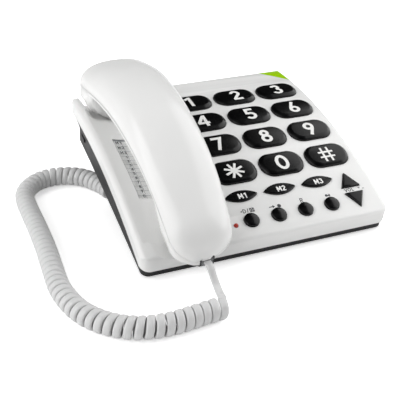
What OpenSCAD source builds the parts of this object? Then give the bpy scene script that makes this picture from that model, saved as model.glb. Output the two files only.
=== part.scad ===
// Corded desk telephone with large keys.
// The base is drawn flat, with z = 0 at its underside and y = 0 at mid-depth, and on_desk() sets it
// down on its feet and its stand, pitched up at the rear. Cord pieces are drawn on the desk itself.

/* [Base] */
// Width of the base
body_w = 185; // [175:1:200]
// Depth of the base
body_d = 185; // [180:1:192]
// Height of the highest line of the face above the underside
crown_z = 32.2; // [31:0.1:36]
// Place of that line, back from mid-depth
crown_y = 15.4; // [10:0.1:20]
// Radius of the arch of the face, front to back
arch_r = 380; // [370:5:420]
// Height of the white skirt round the face
skirt_h = 10.8; // [10:0.1:12]
// Wall of both shells
wall = 2.5; // [2:0.1:2.8]
// Corner radius of the base in plan
corner_r = 7; // [6:0.5:10]
// Rounding of the edge of the face
edge_r = 4; // [3:0.5:5]
// How far the bottom shell stands back from the skirt
base_inset = 1.3; // [1:0.1:1.6]
// Depth of the overhang at the rear
rear_step = 24; // [20:1:26]
// Height of the overhang's underside
step_z = 12.5; // [12:0.5:13]
// Rise of the underside at mid-depth
base_sag = 1.7; // [1:0.1:2]
// Pitch of the base on its stand
tilt = 12; // [11:0.5:13]
// Height of the front feet
foot_h = 1; // [0.8:0.1:1.5]

/* [Keys] */
// Width of a digit key
key_w = 33.5; // [32:0.5:34]
// Length of a digit key
key_l = 21.5; // [20:0.5:23]
// Corner radius of a digit key
key_r = 9.5; // [8:0.5:10]
// Column spacing of the digit keys
key_dx = 37.3; // [36.8:0.1:38]
// Row spacing of the digit keys
key_dy = 29.2; // [27:0.1:30]
// Height of a key above the face
key_rise = 2.8; // [2.4:0.1:3.2]
// Travel of every key
key_travel = 1.5; // [1.2:0.1:1.6]
// Gap between a key and its opening
key_gap = 0.35; // [0.3:0.05:0.4]
// Width of a memory key
memory_w = 24.6; // [23:0.1:26]
// Length of a memory key
memory_l = 9; // [8:0.1:10]
// Diameter of a round key
round_d = 10.7; // [10:0.1:11.5]
// Width of a volume key
volume_w = 14.2; // [13:0.1:15]

/* [Cradle] */
// Middle of the cradle across the base
cradle_x = -59.5; // [-60:0.1:-59]
// Width of the trough at the face
trough_w = 57; // [55:0.5:58]
// Depth of the trough
trough_d = 7; // [6:0.1:7.4]
// Depth of the pocket for the ear end
pocket_d = 9; // [8.6:0.1:9.2]
// Radius of the dish for the mouth end, at the face
dish_w = 27; // [26:0.5:28]
// Depth of that dish
dish_d = 7.9; // [7.5:0.1:8.2]

/* [Handset] */
// Middle of the handset across the base
grip_x = -56.5; // [-57:0.1:-56]
// Rear end of the handset
grip_rear = 90; // [88:0.5:91]
// Front end of the handset
grip_front = -106; // [-108:0.5:-104]
// Wall of the handset shells
grip_wall = 2.2; // [2:0.1:2.4]
// Thickness of the front shell along the grip
grip_under = 6; // [5.5:0.1:7]
// Height that the handset is lifted off the cradle
lift = 80; // [60:5:100]

/* [Cord] */
// Outside diameter of the curly cord
coil_od = 14.5; // [14:0.1:15]
// Thickness of the cord itself
cord_d = 3.3; // [3:0.1:3.4]
// Spacing of the curls
curl_pitch = 5.75; // [5.7:0.01:6.2]
// Width of the straight leads
lead_w = 5.2; // [4.8:0.1:5.4]
// Thickness of the straight leads
lead_t = 2.8; // [2.4:0.1:3]

/* [Hidden] */
$fn = 48;
arc_fn = 240;
seam_gap = 0.2;
fit_gap = 0.15;
loose_gap = 0.3;
nip = 0.03;
face_c = crown_z - arch_r;
seam_r = arch_r - skirt_h;
deep_rear = body_d / 2 - rear_step;
lip_h = 2.5;
// Distance from the desk's origin to mid-depth of the base
desk_y = 12.25;

// Height of a cylinder face of radius r, concentric with the arch, at depth y
function arch_z(r, y) = face_c + sqrt(r * r - pow(y - crown_y, 2));
function face_z(y) = arch_z(arch_r, y);
// Slope of the face at depth y
function slope(y) = asin((y - crown_y) / arch_r);
// Rise of the curved underside at depth y
function sag_z(y) = base_sag * (1 - pow((y + rear_step / 2) / (body_d / 2 - rear_step / 2), 2));

// Height of the floor of the bottom shell at depth y
function floor_z(y) = sag_z(y) + wall;

// Places of the keys: name, x, y
key_x = 31.1;
key_y = -36.7;
key_rows = [["key_1", "key_2", "key_3"], ["key_4", "key_5", "key_6"],
            ["key_7", "key_8", "key_9"], ["key_star", "key_0", "key_hash"]];
function digit_at(row, col) = [key_x + (col - 1) * key_dx, key_y + (3 - row) * key_dy];
memory_keys = ["memory_1", "memory_2", "memory_3"];
memory_x = 19.7;
memory_dx = 29.7;
memory_y = -59;
function memory_at(i) = [memory_x + (i - 1) * memory_dx, memory_y];
round_keys = ["key_mute", "key_redial", "key_recall", "key_speaker"];
round_x = 20.8;
round_dx = 20.7;
round_y = -79.3;
function round_at(i) = [round_x + (i - 1.5) * round_dx, round_y];
volume_x = 72.6;
volume_up_y = -62.4;
volume_down_y = -79.6;
volume_l = 12.6;
lamp_at = [-22.4, -80.9];

// Board, key mat and what the keys press
board_z = 6.6;
board_t = 1.6;
mat_t = 1;
dome_h = 2;
dome_top = board_z + board_t + mat_t + dome_h;
flange_t = 1.2;
flange_w = 1.2;
flange_drop = 0.5;
board_x = [-27, 80];
board_y = [4.5 - body_d / 2, deep_rear - 14.9];
board_posts = [[-22, -70], [50, -22], [50, 36.5], [-22, 36.5]];
post_r = 3;

// Screws: bosses of the top shell stand on the pillars of the bottom shell
screw_at = [[-84.5, -68], [-84.5, 45], [84.5, key_y + key_dy / 2], [84.5, body_d / 2 - 14.5],
            [-24, body_d / 2 - 14.5]];
screw_r = 1.5;
boss_r = 3.4;
seat_front = 14;
seat_rear = 19;
// Height at which the two shells' bosses meet at a screw
function seat_z(p) = p[1] > deep_rear ? seat_rear : seat_front;
head_r = 2.8;
head_t = 1.6;
seat_t = 3;
screw_bite = 4;

// Parts in the base
speaker_at = [-50, -32];
speaker_r = 18;
speaker_t = 6;
ballast = [34, 28, 5];
ballast_at = [-47, 40];
plunger_at = [-57, deep_rear - 6.5];
plunger_r = 2.6;
plunger_rise = 4;
stand_x = [-48, 62];
stand_y = [20, deep_rear - 4.5];
keyhole_dx = 80;
keyhole_r = 4.5;
keyhole_slot = 2.2;
keyhole_long = 11;
keyhole_y = 38;
foot_at = [[-76, -78.5], [76, -78.5]];
foot_r = 9;
pad_t = 1.2;
jack_x = 20;
jack_size = [13, 12, 9];
jack_hole = [9.8, 10, 6.8];
plug_size = [7.7, 11, 6.2];
cord_jack_x = -70;
cord_jack_y = -3;
jack_h = 9;
cord_jack_z = wall + base_sag + jack_h / 2 + fit_gap;
latch = [3.2, 8, 0.9];
recess_l = 24;
recess_w = 15;
recess_h = 13;

// Index strip on the left slope of the trough
index_x = [-77.5, -64.5];
index_y = [-41, 26];
index_t = 0.3;
cover_t = 0.6;

// Green inlay in the rear right corner
accent_leg = 23;
accent_t = 1.2;

// Handset outline at stations from the rear end to the front end
half_w = [26.0, 27.4, 25.8, 23.9, 20.6];
top_z = [57.5, 73.5, 76.5, 62.5, 35.0];
crease_z = [39.7, 54.2, 57.5, 48.7, 19.0];
grip_n = 2.4;
under_n = 3.4;
ear_y = 58;
ear_slope = 18;
mouth_y = -68;
mouth_slope = 12;
rear_round = 9;
front_round = 16;
mouth_z = 14.9;
ear_gap = 0.45;
stations = 30;
arc_steps = 18;
parting = 0.15;

// The curly cord lies on the desk: its centre line, x and y, from the handset's end to the base
coil_route = [[-64, -134.5], [-75, -137], [-88, -138.6], [-102, -138], [-116, -133.5], [-130, -122],
              [-140, -105], [-145, -81], [-144.5, -57], [-143.3, -28], [-143.2, 0], [-143.6, 27],
              [-143, 49], [-137.5, 62], [-128, 70], [-117.5, 71.8], [-106.4, 68.8], [-96.6, 62.4],
              [-89, 52.3], [-85, 39.2], [-82.5, 28]];
curl_rings = 8;
curl_sides = 6;
// Leads: from the handset's plug to the coil, and from the coil to the base's plug
lead_route = [[-52.6, -96.35, 15.15], [-52.5, -98.4, 14.7], [-51.8, -101.6, 11.8], [-50.8, -104.2, 7.6],
              [-50, -107.5, 3.8], [-50, -113, 1.7], [-51.5, -120, 1.5], [-53.2, -127, 1.5],
              [-54.2, -133, 1.5], [-54.8, -137, 1.6], [-56.6, -138.4, 1.8], [-59, -137, 2],
              [-61, -135.2, 1.8], [-64, -134.5, 1.8]];
base_route = [[-82.5, 28, 1.8], [-82, 25, 1.8], [-81, 21.5, 3.6], [-79, 19, 8], [-76.5, 17, 15],
              [-73.5, 15, 22], [-71, 12, 27.5], [-70, 8.5, 28.9], [-70, 5.9, 28.4]];
lead_sides = 8;

white = "#ECECEA";
black = "#1D1D1F";
steel = "#A9ADB0";

// ---------------------------------------------------------------- frames and plain shapes

// From the flat base to the desk: pitched about the front edge and lifted by the feet
module on_desk() {
    translate([0, desk_y - body_d / 2, foot_h])
        rotate([tilt, 0, 0])
            translate([0, body_d / 2, 0])
                children();
}

// A frame on the face at x, y, with z square to the face
module on_face(at) {
    translate([at[0], crown_y, face_c])
        rotate([-slope(at[1]), 0, 0])
            translate([0, 0, arch_r])
                children();
}

// What is inside a revolve about the axis of the arch, from depth y0 to y1; the profile is (radius, x)
module along_arch(y0 = -110, y1 = 110) {
    a0 = slope(y0);
    a1 = slope(y1);
    translate([0, crown_y, face_c])
        rotate([0, 90, 0])
            rotate([0, 0, 180 - a1])
                rotate_extrude(angle = a1 - a0, $fn = arc_fn)
                    children();
}

module rounded(w, d, r) {
    union() {
        square([w - 2 * r, d], center = true);
        square([w, d - 2 * r], center = true);
        for (sx = [-1, 1], sy = [-1, 1])
            translate([sx * (w / 2 - r), sy * (d / 2 - r)])
                circle(r);
    }
}

// The plan of the base, stood back by in, as a tall prism
module plan(in) {
    translate([0, 0, -5])
        linear_extrude(60)
            rounded(body_w - 2 * in, body_d - 2 * in, max(corner_r - in, 1));
}

module band(r0, r1, half = 120) {
    along_arch()
        translate([r0, -half])
            square([r1 - r0, 2 * half]);
}

module at_each(places) {
    for (p = places)
        translate([p[0], p[1], 0])
            children();
}

// ---------------------------------------------------------------- top shell and cradle

// The white outside: plan and arch, rounded along all four edges of the face. The rounding cylinders
// stand proud of the flat faces by nip, so that they cross them cleanly.
module face_block() {
    half = body_w / 2;
    round_x = half - edge_r + nip;
    difference() {
        intersection() {
            plan(0);
            along_arch()
                union() {
                    translate([seam_r, -half - 1])
                        square([skirt_h - edge_r, body_w + 2]);
                    translate([seam_r, -round_x])
                        square([skirt_h, 2 * round_x]);
                    for (s = [-1, 1])
                        translate([arch_r - edge_r, s * round_x])
                            circle(edge_r);
                }
        }
        for (s = [-1, 1])
            edge_cut(s);
    }
}

// What rounds the front (s = -1) or rear (s = 1) edge of the face
module edge_cut(s) {
    y = s * (body_d / 2 - edge_r + nip);
    lean = asin((y - crown_y) / (arch_r - edge_r));
    z = arch_z(arch_r - edge_r + nip, y);
    reach = 4 * edge_r;
    long = body_w + 20;
    translate([-long / 2, y, z])
        rotate([90, 0, 90])
            linear_extrude(long)
                difference() {
                    translate([s > 0 ? edge_r * sin(lean) : edge_r * sin(lean) - reach, 0])
                        square([reach, reach]);
                    circle(edge_r, $fn = 96);
                }
}

trough_r = (pow(trough_w / 2, 2) + trough_d * trough_d) / (2 * trough_d);
dish_r = (dish_w * dish_w + dish_d * dish_d) / (2 * dish_d);
dish_at = [-57, -80];
pocket_w = 54;
pocket_draft = 6;
pocket_front = ear_y - 3.5;
// Place of its right wall at the face
pocket_right = cradle_x + pocket_w / 2 + 1.3;

// The cradle, grown by g on every side
module cradle(g) {
    along_arch(dish_at[1], pocket_front + 12)
        translate([arch_r + trough_r - trough_d, cradle_x])
            circle(trough_r + g, $fn = 180);
    on_face(dish_at)
        translate([0, 0, dish_r - dish_d])
            sphere(dish_r + g, $fn = 180);
    intersection() {
        along_arch(20, 110)
            polygon([[arch_r - pocket_d - g, cradle_x - pocket_w / 2 + pocket_draft - g],
                     [arch_r + edge_r, cradle_x - pocket_w / 2 - g - edge_r * pocket_draft / pocket_d],
                     [arch_r + edge_r, pocket_right + g],
                     [arch_r - pocket_d - g, pocket_right - 1 + g]]);
        translate([cradle_x, 0, 0])
            linear_extrude(60)
                union() {
                    translate([0, pocket_front + pocket_w / 3])
                        intersection() {
                            circle(pocket_w / 2 + g + 3, $fn = 96);
                            translate([-pocket_w, -pocket_w / 3 - g])
                                square([2 * pocket_w, pocket_w]);
                        }
                    translate([-pocket_w, pocket_front + pocket_w / 3])
                        square([2 * pocket_w, 40]);
                }
    }
}

module key_openings() {
    for (row = [0:3], col = [0:2])
        on_face(digit_at(row, col))
            opening(20)
                rounded(key_w + 2 * key_gap, key_l + 2 * key_gap, key_r + key_gap);
    for (i = [0:2])
        on_face(memory_at(i))
            opening(20)
                lens(memory_w + 2 * key_gap, memory_l + 2 * key_gap);
    for (i = [0:3])
        on_face(round_at(i))
            opening(20)
                circle(round_d / 2 + key_gap);
    on_face([volume_x, volume_up_y])
        opening(20)
            triangle(1, key_gap);
    on_face([volume_x, volume_down_y])
        opening(20)
            triangle(-1, key_gap);
    translate([lamp_at[0], lamp_at[1], 0])
        cylinder(r = lamp_r + fit_gap, h = 40);
}

module opening(h) {
    translate([0, 0, -h / 2])
        linear_extrude(h)
            children();
}

module index_ring(d0, d1, grow) {
    along_arch(index_y[0] - grow, index_y[1] + grow)
        intersection() {
            translate([arch_r + trough_r - trough_d, cradle_x])
                difference() {
                    circle(trough_r + d1, $fn = 180);
                    circle(trough_r + d0, $fn = 180);
                }
            translate([arch_r - 20, index_x[0] - grow])
                square([22, index_x[1] - index_x[0] + 2 * grow]);
        }
}

module accent_prism(grow) {
    x = body_w / 2 + 1;
    y = body_d / 2 + 1;
    leg = accent_leg + 2 + grow * sqrt(2);
    linear_extrude(60)
        polygon([[x, y], [x - leg, y], [x, y - leg - 4]]);
}

module top_bosses() {
    intersection() {
        for (p = screw_at)
            translate([p[0], p[1], seat_z(p)])
                cylinder(r = boss_r, h = 40);
        plan(wall / 2);
        band(arch_r - 40, arch_r - wall / 2);
    }
}

module top_shell() {
    color(white)
        on_desk()
            difference() {
                union() {
                    difference() {
                        face_block();
                        intersection() {
                            plan(wall);
                            band(seam_r - 1, arch_r - wall);
                        }
                    }
                    intersection() {
                        cradle(wall);
                        plan(wall);
                        band(seam_r - 4, arch_r - wall / 2);
                    }
                    top_bosses();
                }
                cradle(0);
                key_openings();
                index_ring(-1, cover_t + index_t + 0.05, fit_gap);
                intersection() {
                    accent_prism(0.05);
                    band(arch_r - accent_t - 0.05, arch_r + 10);
                }
                for (p = screw_at)
                    translate([p[0], p[1], 0])
                        cylinder(r = screw_r - 0.1, h = seat_z(p) + screw_bite);
                translate([plunger_at[0], plunger_at[1], 0])
                    cylinder(r = plunger_r + fit_gap, h = 60);
            }
}

module corner_accent() {
    color("#9ACD00")
        on_desk()
            intersection() {
                face_block();
                accent_prism(0);
                band(arch_r - accent_t, arch_r + 10);
            }
}

module index_label() {
    color("#F4F4F0")
        on_desk()
            index_ring(cover_t, cover_t + index_t, 0);
}

module index_cover() {
    color("#DCE2E4", 0.5)
        on_desk()
            index_ring(0.05, cover_t, 0);
}

// ---------------------------------------------------------------- bottom shell

// Side view of the bottom shell, in by o, as a prism across the base
module side_prism(o) {
    y0 = -body_d / 2 - 1;
    y1 = deep_rear - o;
    steps = 12;
    translate([-body_w / 2 - 5, 0, 0])
        rotate([90, 0, 90])
            linear_extrude(body_w + 10)
                polygon(concat([for (i = [0:steps])
                                    let (y = y0 + (y1 - y0) * i / steps)
                                        [y, max(sag_z(y), 0) + o]],
                               [[y1, step_z + o], [body_d / 2 + 1, step_z + o],
                                [body_d / 2 + 1, 50], [y0, 50]]));
}

module base_block(o, r_top) {
    intersection() {
        plan(base_inset + o);
        side_prism(o);
        band(arch_r - 70, r_top);
    }
}

module bottom_shell() {
    color(black)
        on_desk()
            difference() {
                union() {
                    difference() {
                        base_block(0, seam_r - seam_gap);
                        base_block(wall, seam_r + 5);
                    }
                    // lip that centres the top shell
                    intersection() {
                        difference() {
                            plan(wall + fit_gap);
                            plan(base_inset + wall);
                        }
                        band(seam_r - wall, seam_r + lip_h);
                        side_prism(0);
                    }
                    intersection() {
                        union() {
                            for (p = screw_at)
                                translate([p[0], p[1], 0])
                                    cylinder(r = boss_r, h = seat_z(p) - fit_gap);
                            at_each(board_posts)
                                cylinder(r = post_r, h = board_z);
                        }
                        base_block(wall / 2, arch_r);
                    }
                    at_each(foot_at)
                        cylinder(r = foot_r, h = wall);
                    intersection() {
                        translate([cord_jack_x - recess_w / 2 - wall, cord_jack_y - wall, 0])
                            cube([recess_w + 2 * wall, recess_l + 2 * wall, recess_h + wall]);
                        base_block(0, seam_r - seam_gap);
                    }
                }
                cradle(wall + fit_gap);
                // screw holes with counterbores
                for (p = screw_at)
                    translate([p[0], p[1], 0]) {
                        translate([0, 0, -1])
                            cylinder(r = screw_r + fit_gap, h = 40);
                        cylinder(r = head_r + fit_gap, h = 2 * (seat_z(p) - seat_t), center = true);
                    }
                translate([0, 0, board_z - 3])
                    at_each(board_posts)
                        cylinder(r = screw_r - 0.1, h = 20);
                // recess that leads the cord to its jack
                translate([cord_jack_x - recess_w / 2, cord_jack_y, -1])
                    cube([recess_w, recess_l, recess_h + 1]);
                translate([cord_jack_x, cord_jack_y, cord_jack_z])
                    cube([plug_size[0] + 1, 3 * wall, plug_size[2] + 2 * latch[2] + 1], center = true);
                // line jack mouth in the rear wall
                translate([jack_x, deep_rear, jack_z])
                    cube([jack_hole[0] + 0.6, 3 * wall, jack_hole[2] + 0.6], center = true);
                // slot for the ringer slider in the left wall of the overhang
                translate([-body_w / 2, slider_y, slider_z])
                    cube([16, slider_slot, 3], center = true);
                // speaker grille
                for (i = [-2:2], j = [-2:2])
                    if (i * i + j * j < 7)
                        translate([speaker_at[0] + 5 * i, speaker_at[1] + 5 * j, -1])
                            cylinder(r = 1.1, h = 10, $fn = 24);
                // slots for the tabs of the stand
                for (t = stand_tabs)
                    translate([t[0], t[1], 0])
                        cube([tab_w + 2 * fit_gap, tab_t + 2 * fit_gap, 20], center = true);
            }
}

// ---------------------------------------------------------------- keys

lamp_r = 1.6;

module lens(w, l) {
    r = (w * w + l * l) / (4 * l);
    intersection() {
        translate([0, r - l / 2])
            circle(r, $fn = 120);
        translate([0, l / 2 - r])
            circle(r, $fn = 120);
    }
}

// Triangle for the volume keys, its point to the rear (s = 1) or to the front (s = -1)
module triangle(s, grow) {
    g = 2 * grow;
    polygon([[0, s * (volume_l / 2 + g)], [-volume_w / 2 - g, -s * (volume_l / 2 + grow)],
             [volume_w / 2 + g, -s * (volume_l / 2 + grow)]]);
}

// Block with a sloping bevel of width c round its top
module bevelled(w, l, r, h, c) {
    union() {
        linear_extrude(h - c)
            rounded(w, l, r);
        translate([0, 0, h - c]) {
            for (sx = [-1, 1], sy = [-1, 1])
                translate([sx * (w / 2 - r), sy * (l / 2 - r), 0])
                    cylinder(r1 = r, r2 = r - c, h = c);
            rotate([90, 0, 90])
                translate([0, 0, -w / 2 + r])
                    linear_extrude(w - 2 * r)
                        polygon([[-l / 2, 0], [l / 2, 0], [l / 2 - c, c], [-l / 2 + c, c]]);
            rotate([90, 0, 0])
                translate([0, 0, -l / 2 + r])
                    linear_extrude(l - 2 * r)
                        polygon([[-w / 2, 0], [w / 2, 0], [w / 2 - c, c], [-w / 2 + c, c]]);
        }
    }
}

key_deep = wall + flange_drop;

// A key's stem, from its flange to just above its dome when it is fully pressed. It leans with the
// face, so its low corner counts, and shift moves it off the middle of the key.
module stem(y, r, shift = 0) {
    lean = slope(y);
    l = (face_z(y) - key_deep * cos(lean) - dome_top - key_travel - loose_gap
         - (r + abs(shift)) * sin(abs(lean))) / cos(lean) - flange_t;
    translate([0, shift, -key_deep - flange_t - l])
        cylinder(r = r, h = l + 0.5);
}

module digit_key(row, col) {
    at = digit_at(row, col);
    bevel = 1.6;
    color(black)
        on_desk()
            on_face(at)
                union() {
                    translate([0, 0, -key_deep])
                        bevelled(key_w, key_l, key_r, key_deep + key_rise, bevel);
                    translate([0, 0, -key_deep - flange_t])
                        linear_extrude(flange_t)
                            rounded(key_w + 2 * flange_w, key_l + 2 * flange_w, key_r + flange_w);
                    stem(at[1], 4);
                }
}

module memory_key(i) {
    at = memory_at(i);
    rise = 1.6;
    color(black)
        on_desk()
            on_face(at)
                union() {
                    translate([0, 0, -key_deep])
                        linear_extrude(key_deep + rise)
                            lens(memory_w, memory_l);
                    translate([0, 0, -key_deep - flange_t])
                        linear_extrude(flange_t)
                            lens(memory_w + 2 * flange_w, memory_l + 2 * flange_w);
                    stem(at[1], 2.5);
                }
}

module round_key(i) {
    at = round_at(i);
    dome_r = 12;
    color(black)
        on_desk()
            on_face(at)
                union() {
                    intersection() {
                        translate([0, 0, -key_deep])
                            cylinder(d = round_d, h = key_deep + key_rise);
                        translate([0, 0, key_rise - dome_r])
                            sphere(dome_r, $fn = 96);
                    }
                    translate([0, 0, -key_deep - flange_t])
                        cylinder(d = round_d + 2 * flange_w, h = flange_t);
                    stem(at[1], 2.5);
                }
}

module volume_key(s) {
    at = [volume_x, s > 0 ? volume_up_y : volume_down_y];
    rise = 1.8;
    color(black)
        on_desk()
            on_face(at)
                union() {
                    translate([0, 0, -key_deep])
                        linear_extrude(key_deep + rise)
                            triangle(s, 0);
                    translate([0, 0, -key_deep - flange_t])
                        linear_extrude(flange_t)
                            triangle(s, flange_w / 2);
                    stem(at[1], 2.5, -2 * s);
                }
}

module lamp_lens() {
    color("#C2312B")
        on_desk()
            translate([lamp_at[0], lamp_at[1], board_z + board_t])
                union() {
                    cylinder(r = lamp_r, h = face_z(lamp_at[1]) - board_z - board_t, $fn = 32);
                    translate([0, 0, face_z(lamp_at[1]) - board_z - board_t])
                        sphere(lamp_r, $fn = 32);
                }
}

// ---------------------------------------------------------------- inside the base

// Where each stem meets the mat: [x, y]
function under_key(at) = [at[0], at[1] - (face_z(at[1]) - dome_top) * tan(slope(at[1]))];
stems = concat([for (row = [0:3], col = [0:2]) under_key(digit_at(row, col))],
               [for (i = [0:2]) under_key(memory_at(i))],
               [for (i = [0:3]) under_key(round_at(i))],
               [under_key([volume_x, volume_up_y - 2]), under_key([volume_x, volume_down_y + 2])]);

module board_outline() {
    difference() {
        translate([board_x[0], board_y[0]])
            square([board_x[1] - board_x[0], board_y[1] - board_y[0]]);
        for (p = board_posts)
            translate(p)
                circle(screw_r);
    }
}

module circuit_board() {
    color("#2F6B3F")
        on_desk()
            translate([0, 0, board_z])
                linear_extrude(board_t)
                    board_outline();
}

module key_mat() {
    color("#8A8D90")
        on_desk()
            translate([0, 0, board_z + board_t])
                union() {
                    linear_extrude(mat_t)
                        difference() {
                            translate([board_x[0] + 1, board_y[0] + 1])
                                square([board_x[1] - board_x[0] - 2, board_y[1] - board_y[0] - 2]);
                            for (p = board_posts)
                                translate(p)
                                    circle(head_r + 0.5);
                            translate(lamp_at)
                                circle(lamp_r + 0.3);
                        }
                    for (p = stems)
                        translate([p[0], p[1], mat_t])
                            cylinder(r1 = 4.2, r2 = 2.6, h = dome_h, $fn = 24);
                }
}

module screw(len) {
    union() {
        cylinder(r = head_r, h = head_t);
        cylinder(r = screw_r - 0.2, h = len);
    }
}

module board_screws() {
    color(steel)
        on_desk()
            translate([0, 0, board_z + board_t + head_t])
                at_each(board_posts)
                    mirror([0, 0, 1])
                        screw(board_t + head_t + 2.5);
}

module base_screws() {
    color(steel)
        on_desk()
            for (p = screw_at)
                translate([p[0], p[1], seat_z(p) - seat_t - head_t])
                    screw(head_t + seat_t + screw_bite - 1);
}

module ballast_plate() {
    color(steel)
        on_desk()
            translate([ballast_at[0], ballast_at[1],
                       floor_z(ballast_at[1] - ballast[1] / 2) + ballast[2] / 2 + 0.1])
                cube(ballast, center = true);
}

module ringer_speaker() {
    color("#3A3C3E")
        on_desk()
            translate([speaker_at[0], speaker_at[1], wall + base_sag + 0.1])
                union() {
                    difference() {
                        cylinder(r = speaker_r, h = speaker_t / 2);
                        translate([0, 0, -1])
                            cylinder(r1 = speaker_r - 1, r2 = speaker_r - 5, h = 2.5);
                    }
                    cylinder(r = speaker_r * 0.55, h = speaker_t);
                }
}

plunger_floor = arch_z(arch_r - pocket_d, plunger_at[1]);
plunger_low = plunger_floor - wall - plunger_rise - 4.3;

module hook_plunger() {
    color(white)
        on_desk()
            translate([plunger_at[0], plunger_at[1], plunger_low])
                union() {
                    cylinder(r = plunger_r, h = plunger_floor + fit_gap - plunger_low);
                    translate([0, 0, 2])
                        cylinder(r = plunger_r + 1, h = 1.5);
                }
}

module hook_switch() {
    y = plunger_at[1];
    low = floor_z(y - 4) + 0.1;
    body_h = plunger_low - loose_gap - 1 - low;
    color("#2A2A2C")
        on_desk()
            translate([plunger_at[0], y, low])
                union() {
                    translate([-6, -4, 0])
                        cube([12, 7.5, body_h]);
                    cylinder(r = 1.2, h = body_h + 1, $fn = 24);
                }
}

slider_y = deep_rear - 11.5;
slider_z = 10;
slider_travel = 6;
slider_slot = slider_travel + 5;

module ringer_slider() {
    color(black)
        on_desk()
            translate([-body_w / 2 + base_inset, slider_y - slider_travel / 2, slider_z])
                union() {
                    translate([-0.9, -2, -1.1])
                        cube([4.5, 4, 2.2]);
                    translate([wall + loose_gap, -slider_slot / 2 + 1, -2.5])
                        cube([2, slider_slot - 2, 5]);
                }
}

jack_z = floor_z(deep_rear - wall - jack_size[1]) + jack_size[2] / 2 + 0.1;

// Jack body with its mouth to the rear; latch_w is the width of the slot for a plug's latch, if any
module socket(size, hole, latch_w) {
    difference() {
        translate([0, -size[1] / 2, 0])
            cube(size, center = true);
        translate([0, -hole[1] / 2 + 0.5, 0])
            cube([hole[0], hole[1] + 1, hole[2]], center = true);
        if (latch_w > 0)
            translate([-latch_w / 2, -hole[1], 0])
                cube([latch_w, hole[1] + 1, hole[2] / 2 + latch[2] + fit_gap]);
    }
}

plug_hole = [plug_size[0] + 2 * fit_gap, 10, plug_size[2] + 2 * fit_gap];

module line_jack() {
    color("#2A2A2C")
        on_desk()
            translate([jack_x, deep_rear - wall - 0.1, jack_z])
                socket(jack_size, jack_hole, 0);
}

module cord_jack() {
    color("#2A2A2C")
        on_desk()
            translate([cord_jack_x, cord_jack_y - wall - 0.1, cord_jack_z])
                socket([11, 13, jack_h], plug_hole, latch[0] + 2 * fit_gap);
}

// ---------------------------------------------------------------- stand and feet

tab_w = 8;
tab_t = 2;
stand_tabs = [[-38, 28], [52, 28], [-38, 56], [52, 56]];

// Height of the desk under the base at depth y, in the base's own frame
function desk_z(y) = -(foot_h / cos(tilt)) - (y + body_d / 2) * tan(tilt);

// Where the stand's bottom plate begins and ends on the desk
stand_foot_y = [for (y = [stand_y[0] - 6, stand_y[1] + 8]) desk_y - body_d / 2 + (y + body_d / 2) * cos(tilt)
                                                           - (desk_z(y) + pad_t) * sin(tilt)];
stand_rib = 2;
plate_t = 3;
cells = [6, 3];

// Side view of the stand between the underside of the base and the desk
module stand_side(drop) {
    y0 = stand_y[0];
    y1 = stand_y[1];
    polygon([[y0, sag_z(y0) - 0.05], [y1, sag_z(y1) - 0.05], [y1 + 2, sag_z(y1) - 8],
             [y1 + 8, desk_z(y1 + 8) + drop], [y0 - 6, desk_z(y0 - 6) + drop]]);
}

module desk_stand() {
    mid = (stand_x[0] + stand_x[1]) / 2;
    cell_w = (stand_x[1] - stand_x[0] - stand_rib) / cells[0];
    cell_l = (stand_y[1] - stand_y[0] - stand_rib) / cells[1];
    color(black)
        difference() {
            on_desk()
                difference() {
                    union() {
                        translate([stand_x[0], 0, 0])
                            rotate([90, 0, 90])
                                linear_extrude(stand_x[1] - stand_x[0])
                                    stand_side(pad_t / cos(tilt));
                        for (t = stand_tabs)
                            translate([t[0] - tab_w / 2, t[1] - tab_t / 2, -2])
                                cube([tab_w, tab_t, wall + base_sag + 3.5]);
                    }
                    for (i = [0:cells[0] - 1], j = [0:cells[1] - 1])
                        stand_cell(stand_x[0] + stand_rib + i * cell_w, stand_y[0] + stand_rib + j * cell_l,
                                   cell_w - stand_rib, cell_l - stand_rib);
                }
            for (s = [-1, 1])
                translate([mid + s * keyhole_dx / 2, keyhole_y, 0])
                    keyhole();
        }
}

// One hollow between the ribs, open towards the base and closed by the bottom plate
module stand_cell(x, y, w, l) {
    low = (pad_t + plate_t) / cos(tilt);
    translate([x, 0, 0])
        rotate([90, 0, 90])
            linear_extrude(w)
                polygon([[y, desk_z(y) + low], [y + l, desk_z(y + l) + low], [y + l, 20], [y, 20]]);
}

// Wall hook: a round entry for a screw's head and a slot for its shank, with room behind the plate
module keyhole() {
    translate([0, 0, -1]) {
        cylinder(r = keyhole_r, h = pad_t + plate_t + 7);
        translate([-keyhole_slot, 0, 0])
            cube([2 * keyhole_slot, keyhole_long, pad_t + plate_t + 2]);
    }
    translate([-keyhole_r, 0, pad_t + plate_t])
        cube([2 * keyhole_r, keyhole_long + 3, 6]);
}

// Wedge pads under the front corners and flat pads under the stand
module rubber_feet() {
    color("#141415")
        union() {
            intersection() {
                on_desk()
                    translate([-body_w, -body_d, -40])
                        cube([2 * body_w, 2 * body_d, 40]);
                for (p = foot_at)
                    translate([p[0], desk_y - body_d / 2 + (p[1] + body_d / 2) * cos(tilt), 0])
                        cylinder(r = foot_r, h = 20);
            }
            for (x = [stand_x[0] + 12, stand_x[1] - 12], y = [stand_foot_y[0] + 9, stand_foot_y[1] - 9])
                translate([x, y, 0])
                    cylinder(r = 6, h = pad_t);
        }
}

// ---------------------------------------------------------------- handset

function smooth(t) = let (u = min(max(t, 0), 1)) u * u * (3 - 2 * u);
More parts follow.
